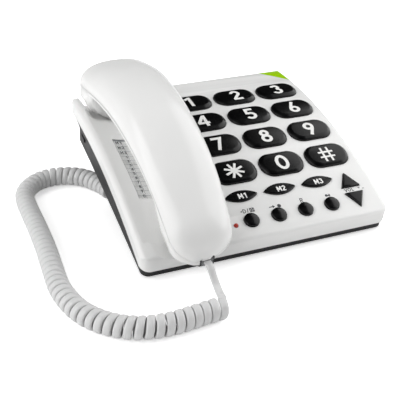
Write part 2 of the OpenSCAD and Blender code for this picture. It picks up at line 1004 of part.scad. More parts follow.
// Smooth curve through five even stations at place s from 0 to 1
function through(v, s) =
    let (n = len(v) - 1, i = min(floor(s * n), n - 1), u = s * n - i,
         a = v[max(i - 1, 0)], b = v[i], c = v[i + 1], d = v[min(i + 2, n)],
         m0 = i == 0 ? (c - b) * 1.3 - (d - b) * 0.15 : (c - a) / 2,
         m1 = i == n - 1 ? (c - b) * 1.3 - (c - a) * 0.15 : (d - b) / 2)
        (2 * u * u * u - 3 * u * u + 1) * b + (u * u * u - 2 * u * u + u) * m0
        + (3 * u * u - 2 * u * u * u) * c + (u * u * u - u * u) * m1;
function end_round(d, reach) = let (u = 1 - min(d / reach, 1)) pow(1 - pow(u, 2.2), 1 / 2.2);
function grip_y(s) = grip_rear + (grip_front - grip_rear) * s;
// Share of full size at place s, which rounds both ends
function ends(s) = let (l = grip_rear - grip_front)
    end_round(s * l, rear_round) * end_round((1 - s) * l, front_round);
// Height under the handset at place y: the floor of the pocket, the grip or the dish
function under_z(y, u) =
    let (bow = 1 - sqrt(1 - min(u * u, 1)),
         ear = smooth((y - ear_y + ear_slope - 17 * bow) / ear_slope),
         mouth = smooth((mouth_y + mouth_slope - 14 * bow - y) / mouth_slope),
         s = (grip_rear - y) / (grip_rear - grip_front),
         grip = through(crease_z, s) - grip_under)
        grip + ear * (arch_z(arch_r - pocket_d, y) + ear_gap - grip)
        + mouth * (min(mouth_z, grip) - grip);

places = [for (i = [0:stations]) 0.0015 + 0.997 * (1 - cos(180 * i / stations)) / 2];
across = [for (j = [0:arc_steps]) -cos(180 * j / arc_steps)];
function bulge(u, n) = pow(max(1 - pow(abs(u), n), 0), 1 / n);

// One ring of the back shell: its outside from left to right, then its inside from right to left
function back_ring(s) =
    let (y = grip_y(s), f = ends(s), w = through(half_w, s) * f, k = through(crease_z, s) + parting,
         h = (through(top_z, s) - k) * f,
         d = min(s, 1 - s) * (grip_rear - grip_front),
         open = min(max((d - grip_wall) / grip_wall, 0.04), 1),
         wi = max(w - grip_wall, w * 0.5), hi = max(h - grip_wall, h * 0.5) * open)
        concat([for (u = across) [grip_x + w * u, y, k + h * bulge(u, grip_n)]],
               [for (u = across) [grip_x - wi * u, y, k + hi * bulge(u, grip_n)]]);
// One ring of the front shell: its outside from right to left, then its inside from left to right
function front_ring(s) =
    let (y = grip_y(s), f = ends(s), w = through(half_w, s) * f, k = through(crease_z, s),
         d = min(s, 1 - s) * (grip_rear - grip_front),
         open = min(max((d - grip_wall) / grip_wall, 0.04), 1),
         wi = max(w - grip_wall, w * 0.5))
        concat([for (u = across)
                    let (h = (k - under_z(y, u)) * (0.35 + 0.65 * f))
                        [grip_x - w * u, y, k - h * bulge(u, under_n)]],
               [for (u = across)
                    let (h = (k - under_z(y, u)) * (0.35 + 0.65 * f))
                        [grip_x + wi * u, y, k - max(h - grip_wall, h * 0.5) * open * bulge(u, under_n)]]);

// A closed solid through rings of equal count
module skin(rings, capped = true) {
    n = len(rings[0]);
    m = len(rings);
    sides = [for (i = [0:m - 2], j = [0:n - 1], t = [0, 1])
                 let (a = i * n + j, b = i * n + (j + 1) % n, c = a + n, d = b + n)
                     t == 0 ? [a, b, d] : [a, d, c]];
    half = n / 2;
    caps = [for (j = [0:half - 2], t = [0, 1], e = [0, 1])
                let (o = e * (m - 1) * n, a = o + j, b = o + j + 1, c = o + n - 1 - j, d = o + n - 2 - j,
                     tri = t == 0 ? [a, c, b] : [b, c, d])
                    e == 0 ? tri : [tri[0], tri[2], tri[1]]];
    polyhedron(points = [for (r = rings) each r], faces = concat(sides, caps));
}

// Where the two shells of the handset are screwed together
grip_screws = [30, -45];
function crease_at(y) = through(crease_z, (grip_rear - y) / (grip_rear - grip_front));
function crown_at(y) = through(top_z, (grip_rear - y) / (grip_rear - grip_front));

module handset_back() {
    color(white)
        on_desk()
            difference() {
                union() {
                    skin([for (s = places) back_ring(s)]);
                    for (y = grip_screws)
                        translate([grip_x, y, crease_at(y) + 1])
                            cylinder(r = boss_r, h = crown_at(y) - crease_at(y) - grip_wall);
                }
                for (y = grip_screws)
                    translate([grip_x, y, crease_at(y)])
                        cylinder(r = screw_r - 0.1, h = 8);
                grip_notch();
            }
}

receiver_at = [grip_x, 72];
mic_at = [grip_x, -83];
grip_jack_x = -52.6;
grip_jack_z = 17.2;
grip_jack = [10.6, 12, 8.4];
plug_end_y = grip_front + 0.8;

// Room for the jack in the front end, open to the front and below
module grip_notch() {
    translate([grip_jack_x - grip_jack[0] / 2 - fit_gap, grip_front - 4, grip_jack_z - grip_jack[2] / 2 - 2])
        cube([grip_jack[0] + 2 * fit_gap, grip_jack[1] + 6.2, grip_jack[2] + 2 + fit_gap]);
}

// A frame inside the ear end, z square to its floor
module on_ear(at) {
    r = arch_r - pocket_d;
    a = asin((at[1] - crown_y) / r);
    translate([at[0], crown_y, face_c])
        rotate([-a, 0, 0])
            translate([0, 0, r + ear_gap + grip_wall])
                children();
}

module handset_front() {
    ring = [for (a = [0:60:300]) [5 * cos(a), 5 * sin(a)]];
    color(white)
        on_desk()
            difference() {
                union() {
                    skin([for (s = places) front_ring(s)]);
                    for (y = grip_screws)
                        translate([grip_x, y, crease_at(y) - grip_under + 1])
                            cylinder(r = boss_r, h = grip_under - 1.2);
                }
                for (p = concat(ring, [[0, 0]]))
                    translate([receiver_at[0] + p[0], receiver_at[1] + p[1], 0])
                        cylinder(r = 1.1, h = 26, $fn = 24);
                translate([mic_at[0], mic_at[1], 0])
                    cylinder(r = 1.1, h = 20, $fn = 24);
                for (y = grip_screws)
                    translate([grip_x, y, crease_at(y) - grip_under - 2]) {
                        cylinder(r = screw_r + fit_gap, h = 12);
                        cylinder(r = head_r + fit_gap, h = 2 + head_t + 0.6);
                    }
                grip_notch();
            }
}

module receiver() {
    color("#3A3C3E")
        on_desk()
            on_ear(receiver_at)
                translate([0, 0, 1.3])
                    union() {
                        cylinder(r = 10, h = 4);
                        cylinder(r = 6, h = 7);
                    }
}

module receiver_gasket() {
    color("#55585A")
        on_desk()
            on_ear(receiver_at)
                translate([0, 0, 0.35])
                    difference() {
                        cylinder(r = 9, h = 0.9);
                        translate([0, 0, -1])
                            cylinder(r = 6.5, h = 3);
                    }
}

module microphone() {
    color("#3A3C3E")
        on_desk()
            translate([mic_at[0], mic_at[1], mouth_z + grip_wall + 0.2])
                cylinder(r = 4.5, h = 4);
}

module handset_weight() {
    weight = [22, 26, 6];
    y = -8;
    lean = atan((crease_at(y + weight[1] / 2) - crease_at(y - weight[1] / 2)) / weight[1]);
    color(steel)
        on_desk()
            translate([grip_x, y, crease_at(y) - grip_under + grip_wall])
                rotate([lean, 0, 0])
                    translate([0, 0, weight[2] / 2 + 0.25])
                        cube(weight, center = true);
}

module handset_jack() {
    color("#2A2A2C")
        on_desk()
            translate([grip_jack_x, grip_front + 2, grip_jack_z])
                mirror([0, 1, 0])
                    socket(grip_jack, plug_hole, latch[0] + 2 * fit_gap);
}

module handset_screws() {
    color(steel)
        on_desk()
            for (y = grip_screws)
                translate([grip_x, y, crease_at(y) - grip_under + 0.55])
                    screw(8);
}

// ---------------------------------------------------------------- cord

function len3(v) = sqrt(v * v);
function unit(v) = v / len3(v);
// Smooth curve through points p at place t, one span to each step of t
function spline(p, t) =
    let (n = len(p) - 1, i = min(floor(t), n - 1), u = t - i,
         b = p[i], c = p[i + 1], a = i == 0 ? 2 * b - c : p[i - 1], d = i == n - 1 ? 2 * c - b : p[i + 2])
        0.5 * (2 * b + u * (c - a) + u * u * (2 * a - 5 * b + 4 * c - d)
               + u * u * u * (3 * b - a - 3 * c + d));

// Plug with its latch, nose to -y
module plug() {
    union() {
        translate([-plug_size[0] / 2, 0, -plug_size[2] / 2])
            cube(plug_size);
        translate([-latch[0] / 2, 1, plug_size[2] / 2])
            cube(latch);
    }
}

function steps_of(route) = (len(route) - 1) * 2;
function lead_point(route, i) = spline(route, i / 2);
function lead_dir(route, i) =
    let (n = steps_of(route), a = lead_point(route, max(i - 0.2, 0)), b = lead_point(route, min(i + 0.2, n)))
        unit(b - a);
// Flat cord: wide across, thin up and down
function lead_ring(route, i) =
    let (p = lead_point(route, i), t = lead_dir(route, i), side = unit(cross(t, [0, 0, 1]) + [0.0001, 0, 0]),
         up = cross(t, side))
        [for (k = [0:lead_sides - 1])
            let (a = 360 * (k + 0.5) / lead_sides)
                p + side * (lead_w / 2) * cos(a) + up * (lead_t / 2) * sin(a)];

module tube(rings) {
    n = len(rings[0]);
    m = len(rings);
    sides = [for (i = [0:m - 2], j = [0:n - 1], t = [0, 1])
                 let (a = i * n + j, b = i * n + (j + 1) % n, c = a + n, d = b + n)
                     t == 0 ? [a, d, b] : [a, c, d]];
    ends = [for (j = [1:n - 2], e = [0, 1])
                let (o = e * (m - 1) * n) e == 0 ? [o, o + j, o + j + 1] : [o, o + j + 1, o + j]];
    polyhedron(points = [for (r = rings) each r], faces = concat(sides, ends));
}

module cord_lead_handset() {
    color("#D9DADB")
        tube([for (i = [0:steps_of(lead_route)]) lead_ring(lead_route, i)]);
}

module cord_lead_base() {
    color("#D9DADB")
        tube([for (i = [0:steps_of(base_route)]) lead_ring(base_route, i)]);
}

module plug_handset() {
    color("#C9CDD0", 0.7)
        on_desk()
            translate([grip_jack_x, plug_end_y, grip_jack_z])
                mirror([0, 1, 0])
                    translate([0, -plug_size[1], 0])
                        plug();
}

module plug_base() {
    color("#C9CDD0", 0.7)
        on_desk()
            translate([cord_jack_x, cord_jack_y - wall - 8, cord_jack_z])
                plug();
}

// Curly cord: a helix of curls along its route, which closes to the middle at both ends
coil_r = (coil_od - cord_d) / 2;
coil_fine = [for (t = [0:0.05:len(coil_route) - 1]) spline(coil_route, t)];
coil_far = [for (i = 0, l = 0; i < len(coil_fine); l = l + norm(coil_fine[min(i + 1, len(coil_fine) - 1)]
                                                                - coil_fine[i]), i = i + 1) l];
coil_table = [for (i = [0:len(coil_far) - 1]) [coil_far[i], 0.05 * i]];
coil_l = coil_far[len(coil_far) - 1];
curls = round(coil_l / curl_pitch);
coil_n = curls * curl_rings;
function coil_lift(i) = coil_r * smooth(min(i - 2, coil_n - 2 - i) / curl_rings);
function coil_mid(i) = spline(coil_route, lookup(coil_l * min(max(i, 0), coil_n) / coil_n, coil_table));
// Straight out from the middle of the coil at ring i
function coil_out(i) =
    let (d = coil_mid(i + 0.2) - coil_mid(i - 0.2), t = d / norm(d), a = 360 * i / curl_rings)
        [t[1] * sin(a), -t[0] * sin(a), cos(a)];
function coil_point(i) =
    let (p = coil_mid(i), r = coil_lift(i))
        [p[0], p[1], cord_d / 2 + r] + r * coil_out(i);
function coil_ring(i) =
    let (p = coil_point(i), t = unit(coil_point(min(i + 0.25, coil_n)) - coil_point(max(i - 0.25, 0))),
         n0 = coil_out(i), n = unit(n0 - (n0 * t) * t), b = cross(t, n))
        [for (k = [0:curl_sides - 1])
            let (a = 360 * (k + 0.5) / curl_sides)
                p + cord_d / 2 * (n * cos(a) + b * sin(a))];

// Least gap between neighbouring curls, measured between their middle lines
curl_gap = min([for (i = [0:coil_n - 12], j = [i + 5:i + 12]) norm(coil_point(i) - coil_point(j))]) - cord_d;
cord_long = [for (i = [1:coil_n]) norm(coil_point(i) - coil_point(i - 1))];
echo(curls = curls, least_gap_mm = curl_gap, cord_mm = cord_long * [for (i = [1:coil_n]) 1]);

module curly_cord() {
    color("#D9DADB")
        tube([for (i = [0:coil_n]) coil_ring(i)]);
}

// ---------------------------------------------------------------- what is drawn

top_shell();
bottom_shell();
corner_accent();
index_label();
index_cover();
lamp_lens();
for (row = [0:3], col = [0:2])
    digit_key(row, col);
for (i = [0:2])
    memory_key(i);
for (i = [0:3])
    round_key(i);
volume_key(1);  // volume_up
volume_key(-1);  // volume_down
circuit_board();
key_mat();
board_screws();
base_screws();
ballast_plate();
ringer_speaker();
hook_plunger();
hook_switch();
ringer_slider();
line_jack();
cord_jack();
desk_stand();
rubber_feet();
handset_back();
handset_front();
receiver();
receiver_gasket();
microphone();
handset_weight();
handset_jack();
handset_screws();
plug_handset();
cord_lead_handset();
curly_cord();
cord_lead_base();
plug_base();
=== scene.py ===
# %% [markdown]
# # A corded desk phone with large keys
# The real phone is a black tray with a glossy white cover snapped onto it, big keys on a rubber mat, a
# handset of two white shells and a curly cord. The solids already hold every size. This script gives
# each piece its surface: softened edges, print, and the plastics that the real parts are moulded in.

# %% Load the solids as the frame
import math

import bmesh
import bpy
from mathutils import Matrix, Vector


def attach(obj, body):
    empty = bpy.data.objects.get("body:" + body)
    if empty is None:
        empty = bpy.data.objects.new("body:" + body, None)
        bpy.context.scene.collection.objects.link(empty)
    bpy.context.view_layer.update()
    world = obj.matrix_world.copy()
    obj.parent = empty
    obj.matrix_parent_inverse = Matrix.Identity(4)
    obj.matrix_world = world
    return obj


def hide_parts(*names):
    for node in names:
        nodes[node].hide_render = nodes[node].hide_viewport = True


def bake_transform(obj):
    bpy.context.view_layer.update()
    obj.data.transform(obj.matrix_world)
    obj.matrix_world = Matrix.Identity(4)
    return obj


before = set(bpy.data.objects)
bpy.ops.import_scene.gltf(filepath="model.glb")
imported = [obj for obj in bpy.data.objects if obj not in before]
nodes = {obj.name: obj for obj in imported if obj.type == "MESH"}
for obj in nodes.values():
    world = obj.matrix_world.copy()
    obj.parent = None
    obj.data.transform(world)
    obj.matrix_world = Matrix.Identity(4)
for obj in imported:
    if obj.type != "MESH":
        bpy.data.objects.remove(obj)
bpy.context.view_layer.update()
MM = 0.001

# %% [markdown]
# ## Camera
# A product picture of a phone is taken from the side where the handset lies, a little above the desk.
# A long lens keeps the keys nearly parallel. The camera comes first; the cords' routes were measured
# against what it sees.

# %% Place the camera
def place(x, y, z):
    """A point of the model, given in millimetres."""
    return Vector((x, y, z)) * MM


camera_data = bpy.data.cameras.new("desk_camera")
camera_data.sensor_width = 36
camera_data.lens = 70.9
camera = bpy.data.objects.new("desk_camera", camera_data)
camera.location = place(-213.5, -488.5, 290.8)
looks_at = place(-30.4, -27.5, 21)
camera.rotation_mode = "QUATERNION"
camera.rotation_quaternion = (looks_at - camera.location).to_track_quat("-Z", "Y")
bpy.context.scene.collection.objects.link(camera)
bpy.context.scene.camera = camera
print("lens", camera_data.lens, "mm")

# %% [markdown]
# ## Plastics
# Nearly everything here is moulded. What tells one plastic from another is how sharp its reflection
# is and how fine its grain is, so one recipe takes a colour, a roughness and a grain in millimetres.

# %% One function for colours and one for nodes
def linear(hex_colour):
    """Linear RGBA of an sRGB hex colour."""
    parts = [int(hex_colour[i:i + 2], 16) / 255 for i in (1, 3, 5)]
    return [c / 12.92 if c <= 0.04045 else ((c + 0.055) / 1.055) ** 2.4 for c in parts] + [1]


def add_node(tree, kind, settings=(), values=(), links=()):
    """Add a node with its settings, its sockets' values and what its sockets are linked to."""
    node = tree.nodes.new(kind)
    for name, value in dict(settings).items():
        setattr(node, name, value)
    for name, value in dict(values).items():
        node.inputs[name].default_value = value
    for name, source in dict(links).items():
        tree.links.new(source, node.inputs[name])
    return node


# %% The recipe for a moulded plastic
PATCH_SIZE = 18 * MM
GLOSS_SPREAD = 0.15


def moulded(name, hex_colour, roughness, grain_mm, grain_depth_mm, ior=1.5, mottle=0.03, values=()):
    """A moulded plastic: an even colour, a slight change of gloss and a fine grain."""
    material = bpy.data.materials.new(name)
    material.use_nodes = True
    tree = material.node_tree
    shader = tree.nodes["Principled BSDF"]
    where = add_node(tree, "ShaderNodeTexCoord").outputs["Object"]
    grain = add_node(tree, "ShaderNodeTexNoise", values={"Scale": 1 / (grain_mm * MM), "Detail": 2},
                     links={"Vector": where})
    patches = add_node(tree, "ShaderNodeTexNoise", values={"Scale": 1 / PATCH_SIZE, "Detail": 3},
                       links={"Vector": where})
    gloss = add_node(tree, "ShaderNodeMapRange", links={"Value": patches.outputs["Fac"]},
                     values={"To Min": roughness * (1 - GLOSS_SPREAD),
                             "To Max": roughness * (1 + GLOSS_SPREAD)})
    tone = add_node(tree, "ShaderNodeMapRange", links={"Value": patches.outputs["Fac"]},
                    values={"To Min": 1 - mottle, "To Max": 1 + mottle})
    tint = add_node(tree, "ShaderNodeHueSaturation", values={"Color": linear(hex_colour)},
                    links={"Value": tone.outputs["Result"]})
    bump = add_node(tree, "ShaderNodeBump", values={"Strength": 1, "Distance": grain_depth_mm * MM},
                    links={"Height": grain.outputs["Fac"]})
    shader.inputs["IOR"].default_value = ior
    for socket, value in dict(values).items():
        shader.inputs[socket].default_value = value
    tree.links.new(tint.outputs["Color"], shader.inputs["Base Color"])
    tree.links.new(gloss.outputs["Result"], shader.inputs["Roughness"])
    tree.links.new(bump.outputs["Normal"], shader.inputs["Normal"])
    return material


# The cover and the handset come from a polished mould: broad reflections with soft borders. Its
# orange peel is finer than a pixel, so it is drawn 3 mm wide.
white_abs = moulded("polished_white_abs", "#F1F1F0", 0.2, 3.0, 0.004, ior=1.54, mottle=0.01)
# The tray's spark-eroded texture scatters the light, so it reads as an even charcoal.
black_abs = moulded("textured_black_abs", "#19191B", 0.5, 0.5, 0.03)
# The caps are smooth and deep black: their tops stay dark and only the sloping rims shine.
key_abs = moulded("satin_black_key_abs", "#050506", 0.22, 0.6, 0.004,
                  values={"Specular IOR Level": 0.32})
# Soft PVC is a little greyer and duller than the cover, which sets the curls off against it.
white_pvc = moulded("soft_white_pvc_sleeve", "#D9D9D9", 0.36, 1.2, 0.006, ior=1.53, mottle=0.015)
# The same moulding as the cover, dyed through.
lime_abs = moulded("lime_green_abs", "#9FD200", 0.22, 2.0, 0.003)
# Rubbers hardly reflect, and nylon does so a little.
grey_rubber = moulded("grey_silicone_rubber", "#83868A", 0.6, 0.4, 0.01, ior=1.41)
black_rubber = moulded("black_rubber", "#161617", 0.75, 0.4, 0.02, ior=1.52)
dark_nylon = moulded("dark_nylon", "#2A2A2C", 0.45, 0.5, 0.01, ior=1.53)
# The resist over the board's copper is a glossy green.
solder_mask = moulded("green_solder_mask", "#1F5A30", 0.3, 1.0, 0.005)
# Pad printing leaves a matt film, so the numerals stay white from every side.
white_ink = moulded("white_key_ink", "#F6F6F4", 0.45, 0.4, 0.002, mottle=0.01)
grey_ink = moulded("dark_grey_pad_ink", "#3C3D40", 0.5, 0.4, 0.002)
card_ink = moulded("grey_card_ink", "#505256", 0.5, 0.4, 0.002)
# Bright zinc on steel, with the blurred reflection of a rolled sheet.
zinc_steel = moulded("zinc_plated_steel", "#B9BDC0", 0.3, 0.3, 0.003, values={"Metallic": 1})
# Clear plugs and a thin clear window: one refracts, the other only adds its gloss to the card.
clear_pc = moulded("clear_polycarbonate", "#E8ECEE", 0.08, 1.0, 0.001, ior=1.58,
                   values={"Transmission Weight": 0.85})
clear_window = moulded("clear_pvc_window", "#F4F6F7", 0.08, 1.0, 0.001, ior=1.53,
                       values={"Alpha": 0.06})
# The lamp is off, so its lens is a dull brick red.
lamp_red = moulded("red_lamp_lens", "#B23A30", 0.25, 1.0, 0.002, ior=1.49)
print("plastics ready:", len(bpy.data.materials))

# %% [markdown]
# ## The curly cord
# A handset cord is a flat four-wire flex wound round a mandrel and set with heat, so its turns lie
# side by side like a stack of rings. It is made as one tube: a rounded flat section is swept along a
# helix that itself follows the cord's route over the desk. On the inside of a bend the turns crowd
# together, so the section narrows there with the distance to the next turn.

# %% The routes of the cord
# From the handset's jack down to the desk and over the first curl, round the left of the phone, and
# up into the socket beside the cradle. The coil's route is flat, along its middle on the desk.
lead_route = [(-52.6, -96.35, 15.15), (-52.5, -98.4, 14.7), (-52, -101.6, 11.8), (-51.4, -104.2, 7.6),
              (-51, -107.5, 4.3), (-51.5, -113, 3), (-53.1, -120, 4.6), (-55.2, -126.3, 8.6),
              (-57, -130.6, 11.7), (-58.3, -133.2, 13), (-58.9, -135.4, 13.25)]
coil_route = [lead_route[-1][:2], (-75, -137), (-88, -138.6), (-102, -138), (-116, -133.5),
              (-130, -122), (-140, -105), (-145, -81), (-144.5, -57), (-143.3, -28), (-143.2, 0),
              (-143.6, 27), (-143, 49), (-137.5, 62.5), (-128, 71.5), (-117, 74.5), (-105.5, 72.5),
              (-95.5, 66.5), (-87.5, 55.5), (-82, 43), (-78.5, 30)]
base_route = [(*coil_route[-1], 1.8), (-78, 26, 1.8), (-77.3, 22, 3.6), (-76.3, 19, 8),
              (-74.8, 17, 15), (-72.9, 15, 22), (-71, 12, 27.5), (-70, 8.5, 28.9), (-70, 5.9, 28.4)]


def spline(points, t):
    """A point of the smooth curve through points, one span to each step of t."""
    last = len(points) - 1
    i = min(int(t), last - 1)
    u = t - i
    b, c = points[i], points[i + 1]
    a = points[i - 1] if i > 0 else 2 * b - c
    d = points[i + 2] if i + 2 <= last else 2 * c - b
    return 0.5 * (2 * b + u * (c - a) + u * u * (2 * a - 5 * b + 4 * c - d)
                  + u * u * u * (3 * b - a - 3 * c + d))


FINE = 40


def even_points(points, count):
    """The smooth curve through points as count + 1 places at even distances, and its length."""
    fine = [spline(points, i / FINE) for i in range(FINE * (len(points) - 1) + 1)]
    far = [0.0]
    for p, q in zip(fine, fine[1:]):
        far.append(far[-1] + (q - p).length)
    out, j = [], 0
    for i in range(count + 1):
        goal = far[-1] * i / count
        while j < len(far) - 2 and far[j + 1] < goal:
            j += 1
        out.append(fine[j].lerp(fine[j + 1], min((goal - far[j]) / (far[j + 1] - far[j]), 1)))
    return out, far[-1]


def curve_length(points):
    """The length of the smooth curve through points."""
    return even_points(points, 1)[1]


def line_length(line):
    """The length of a line of points."""
    return sum((q - p).length for p, q in zip(line, line[1:]))


def eased(t):
    """0 to 1 with a soft start and end."""
    t = min(max(t, 0), 1)
    return t * t * (3 - 2 * t)


# %% Wind the coil round its route
COIL_ACROSS = 14.5 * MM
CORD_WIDTH = 5.1 * MM
CORD_THICK = 2.9 * MM
CURL_PITCH = 5.75 * MM
RINGS = 32
CURL_FILL = 0.93
REACH = RINGS // 4
DESK_GAP = 0.2 * MM
UP = Vector((0, 0, 1))


def softened(line, reach):
    """A line whose points are drawn to the middle of up to reach neighbours on each side."""
    parts = [line[max(i - k, 0):i + k + 1] for i in range(len(line))
             for k in [min(i, len(line) - 1 - i, reach)]]
    return [sum(part, Vector((0, 0, 0))) / len(part) for part in parts]


# The lead comes over the top of the first curl. Over the last curl the coil sinks to the desk, where
# its section turns flat, and stays clear of the desk while it stands on edge.
flat_route = [place(x, y, 0) for x, y in coil_route]
curls = round(curve_length(flat_route) / CURL_PITCH)
count = curls * RINGS
middle, route_length = even_points(flat_route, count)
middle = softened(middle, RINGS)
rest = CORD_THICK / 2 + DESK_GAP
coil_line, coil_out = [], []
for i, p in enumerate(middle):
    ahead = (middle[min(i + REACH, count)] - middle[max(i - REACH, 0)]).normalized()
    turn = -2 * math.pi * i / RINGS
    out = UP * math.cos(turn) + UP.cross(ahead) * -math.sin(turn)
    full = eased((count - i) / RINGS)
    lift = (COIL_ACROSS - CORD_THICK) / 2 * full
    on_edge = (CORD_WIDTH - CORD_THICK) / 2 * 4 * full * (1 - full)
    coil_line.append(p + UP * (rest + on_edge + lift) + out * lift)
    coil_out.append(out * full + UP * (1 - full))
coil_widths = []
for i, p in enumerate(coil_line):
    near = [(p - coil_line[j]).length for j in (i - RINGS, i + RINGS) if 0 <= j <= count]
    coil_widths.append(min([CORD_WIDTH] + [CURL_FILL * gap for gap in near]))
print(curls, "curls over", round(route_length / MM), "mm, line", round(line_length(coil_line), 2), "m")


# %% Sweep a flat section along a line
SECTION_SIDES = 16
SQUARENESS = 0.72


def mesh_piece(name, bm, material, sharp=40):
    """Turn a bmesh into a smooth-shaded piece, sharp where faces meet at more than sharp degrees."""
    mesh = bpy.data.meshes.new(name)
    bm.to_mesh(mesh)
    bm.free()
    mesh.shade_smooth()
    mesh.set_sharp_from_angle(angle=math.radians(sharp))
    mesh.materials.append(material)
    piece = bpy.data.objects.new(name, mesh)
    bpy.context.scene.collection.objects.link(piece)
    return piece


def flat_tube(name, line, outward, widths, material):
    """A tube along line: thin along outward, wide across it, with rounded corners."""
    bm = bmesh.new()
    ring = bmesh.ops.create_circle(bm, segments=SECTION_SIDES, radius=1)["verts"]
    section = [[math.copysign(abs(c) ** SQUARENESS, c) for c in v.co.xy] for v in ring]
    for i, p in enumerate(line):
        ahead = (line[min(i + 1, len(line) - 1)] - line[max(i - 1, 0)]).normalized()
        out = (outward[i] - outward[i].dot(ahead) * ahead).normalized()
        across = ahead.cross(out)
        if i:
            grown = bmesh.ops.extrude_edge_only(bm, edges=ring_edges)["geom"]
            ring = [v for v in grown if isinstance(v, bmesh.types.BMVert)]
        members = set(ring)
        ring_edges = list({e for v in ring for e in v.link_edges if e.other_vert(v) in members})
        for v, (sx, sy) in zip(ring, section):
            v.co = p + across * (sx * widths[i] / 2) + out * (sy * CORD_THICK / 2)
        if i == 0:
            first = list(ring_edges)
    bmesh.ops.contextual_create(bm, geom=first)
    bmesh.ops.contextual_create(bm, geom=ring_edges)
    bmesh.ops.recalc_face_normals(bm, faces=bm.faces)
    return mesh_piece(name, bm, material)


LEAD_STEP = 1.2 * MM
JOIN_STEPS = 8


def run_of(route):
    """The smooth line through a route of 3-D points and the flat cord's outward direction on it."""
    points = [place(*p) for p in route]
    steps = round(curve_length(points) / LEAD_STEP)
    line = even_points(points, steps)[0]
    aheads = [(line[min(i + 1, steps)] - line[max(i - 1, 0)]).normalized() for i in range(steps + 1)]
    return line, [(UP - UP.dot(a) * a).normalized() for a in aheads]


# The base end runs on from the coil into the socket beside the cradle, so both are one tube.
base_line, base_out = run_of(base_route)
to_coil = coil_line[-1] - base_line[0]
base_line = [p + to_coil * (1 - eased(i / JOIN_STEPS)) for i, p in enumerate(base_line)]
whole_line = coil_line + base_line[1:]
coil_cord = flat_tube("curly_cord_flex", whole_line, coil_out + base_out[1:],
                      coil_widths + [CORD_WIDTH] * (len(base_line) - 1), white_pvc)
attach(coil_cord, "base")
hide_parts("curly_cord", "cord_lead_base")

# %% The lead from the handset down to the coil
lead_line, lead_out = run_of(lead_route)
handset_lead = flat_tube("handset_lead_flex", lead_line, lead_out, [CORD_WIDTH] * len(lead_line),
                         white_pvc)
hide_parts("cord_lead_handset")
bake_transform(handset_lead)
print("whole cord", round(line_length(whole_line) + line_length(lead_line), 2), "m")

# %% [markdown]
# ## The frame of the body
# The body stands tilted on its foot, and its face is a shallow arch. Keys, print and handset all take
# their places from here.

# %% The face of the cover
TILT = math.radians(12)
BODY = 185
DESK_Y, FOOT_H = 12.25, 1
CROWN_Y, CROWN_Z, ARCH_R = 15.4, 32.2, 380
BASE = (Matrix.Translation(place(0, DESK_Y - BODY / 2, FOOT_H)) @ Matrix.Rotation(TILT, 4, "X")
        @ Matrix.Translation(place(0, BODY / 2, 0)))


def on_face(x, y, height=0.0):
    """The frame of the arched face at (x, y) in millimetres, with z along the face's normal."""
    slope = math.asin((y - CROWN_Y) / ARCH_R)
    return (BASE @ Matrix.Translation(place(0, CROWN_Y, CROWN_Z - ARCH_R))
            @ Matrix.Rotation(-slope, 4, "X") @ Matrix.Translation(place(x, 0, ARCH_R + height)))


print("face tilted", round(math.degrees(TILT)), "degrees")

# %% [markdown]
# ## Moulded shells
# The white cover, the black tray and the two handset halves come out of polished steel moulds, which
# leave true curves and small radii on every edge. The cover's, the tray's and the small parts'
# surfaces are copied, their split corners are merged, their flat areas are joined and their edges get
# the mould's radius. The handset's back is drawn anew as one smooth skin with a wall, and its front
# half is a merged copy.

# %% Copy a solid's surface and soften its edges
def moulded_copy(solid, material, edge_mm=0.3, sharp=35, body="base", moved=None):
    """A merged copy of a solid, with its flat areas joined and its sharp edges rounded by edge_mm."""
    bm = bmesh.new()
    bm.from_mesh(nodes[solid].data)
    bmesh.ops.remove_doubles(bm, verts=bm.verts, dist=0.002 * MM)
    if edge_mm:
        bmesh.ops.dissolve_limit(bm, angle_limit=math.radians(0.2), verts=bm.verts, edges=bm.edges)
    if moved:
        for v in bm.verts:
            v.co = moved(v.co)
    piece = mesh_piece(solid + "_moulding", bm, material, sharp)
    if edge_mm:
        rounding = piece.modifiers.new("mould_radius", "BEVEL")
        rounding.width = edge_mm * MM
        rounding.segments = 2
        rounding.limit_method = "ANGLE"
        rounding.angle_limit = math.radians(sharp)
        rounding.use_clamp_overlap = True
        rounding.harden_normals = True
    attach(piece, body)
    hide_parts(solid)
    return piece


for solid, plastic, edge in (("top_shell", white_abs, 0.25), ("bottom_shell", black_abs, 0.3),
                             ("corner_accent", lime_abs, 0.2), ("desk_stand", black_abs, 0.4)):
    moulded_copy(solid, plastic, edge)
moulded_copy("hook_plunger", white_abs, 0.3, body="hook_plunger")
moulded_copy("ringer_slider", black_abs, 0.2, body="ringer_slider")

# %% The handset, which lies a little askew in its cradle
# The half width, the crown and the parting line stand at five even stations from the rear.
GRIP_X, GRIP_REAR, GRIP_FRONT = -56.5, 90, -106
HALF_W = (26.0, 27.4, 25.8, 23.9, 20.6)
TOP_Z = (57.5, 73.5, 76.5, 62.5, 35.0)
CREASE_Z = (39.7, 54.2, 57.5, 48.7, 19.0)
CROWN_POWER, END_POWER = 2.4, 2.2
REAR_ROUND, FRONT_ROUND = 9, 16
PARTING, GRIP_WALL = 0.03, 2.2
# The notch for the jack, and how the handset lies: turned and spread above its seats, while the
# seats and the jack keep their places.
NOTCH_X, NOTCH_HALF, NOTCH_Y, NOTCH_Z = -52.6, 5.7, -94, 21.8
ASKEW, STRAIGHT_Y = 0.0306, 21.5
EAR_SPREAD, SPREAD_Y, SPREAD_LONG = 0.08, 20, 45
SEAT_Z, SEAT_SPAN = (14, 23), 9
JACK_SIDE, JACK_LONG, JACK_HIGH = 12, 10, 8
END_CHORD, END_TURN = 1.3, 0.15


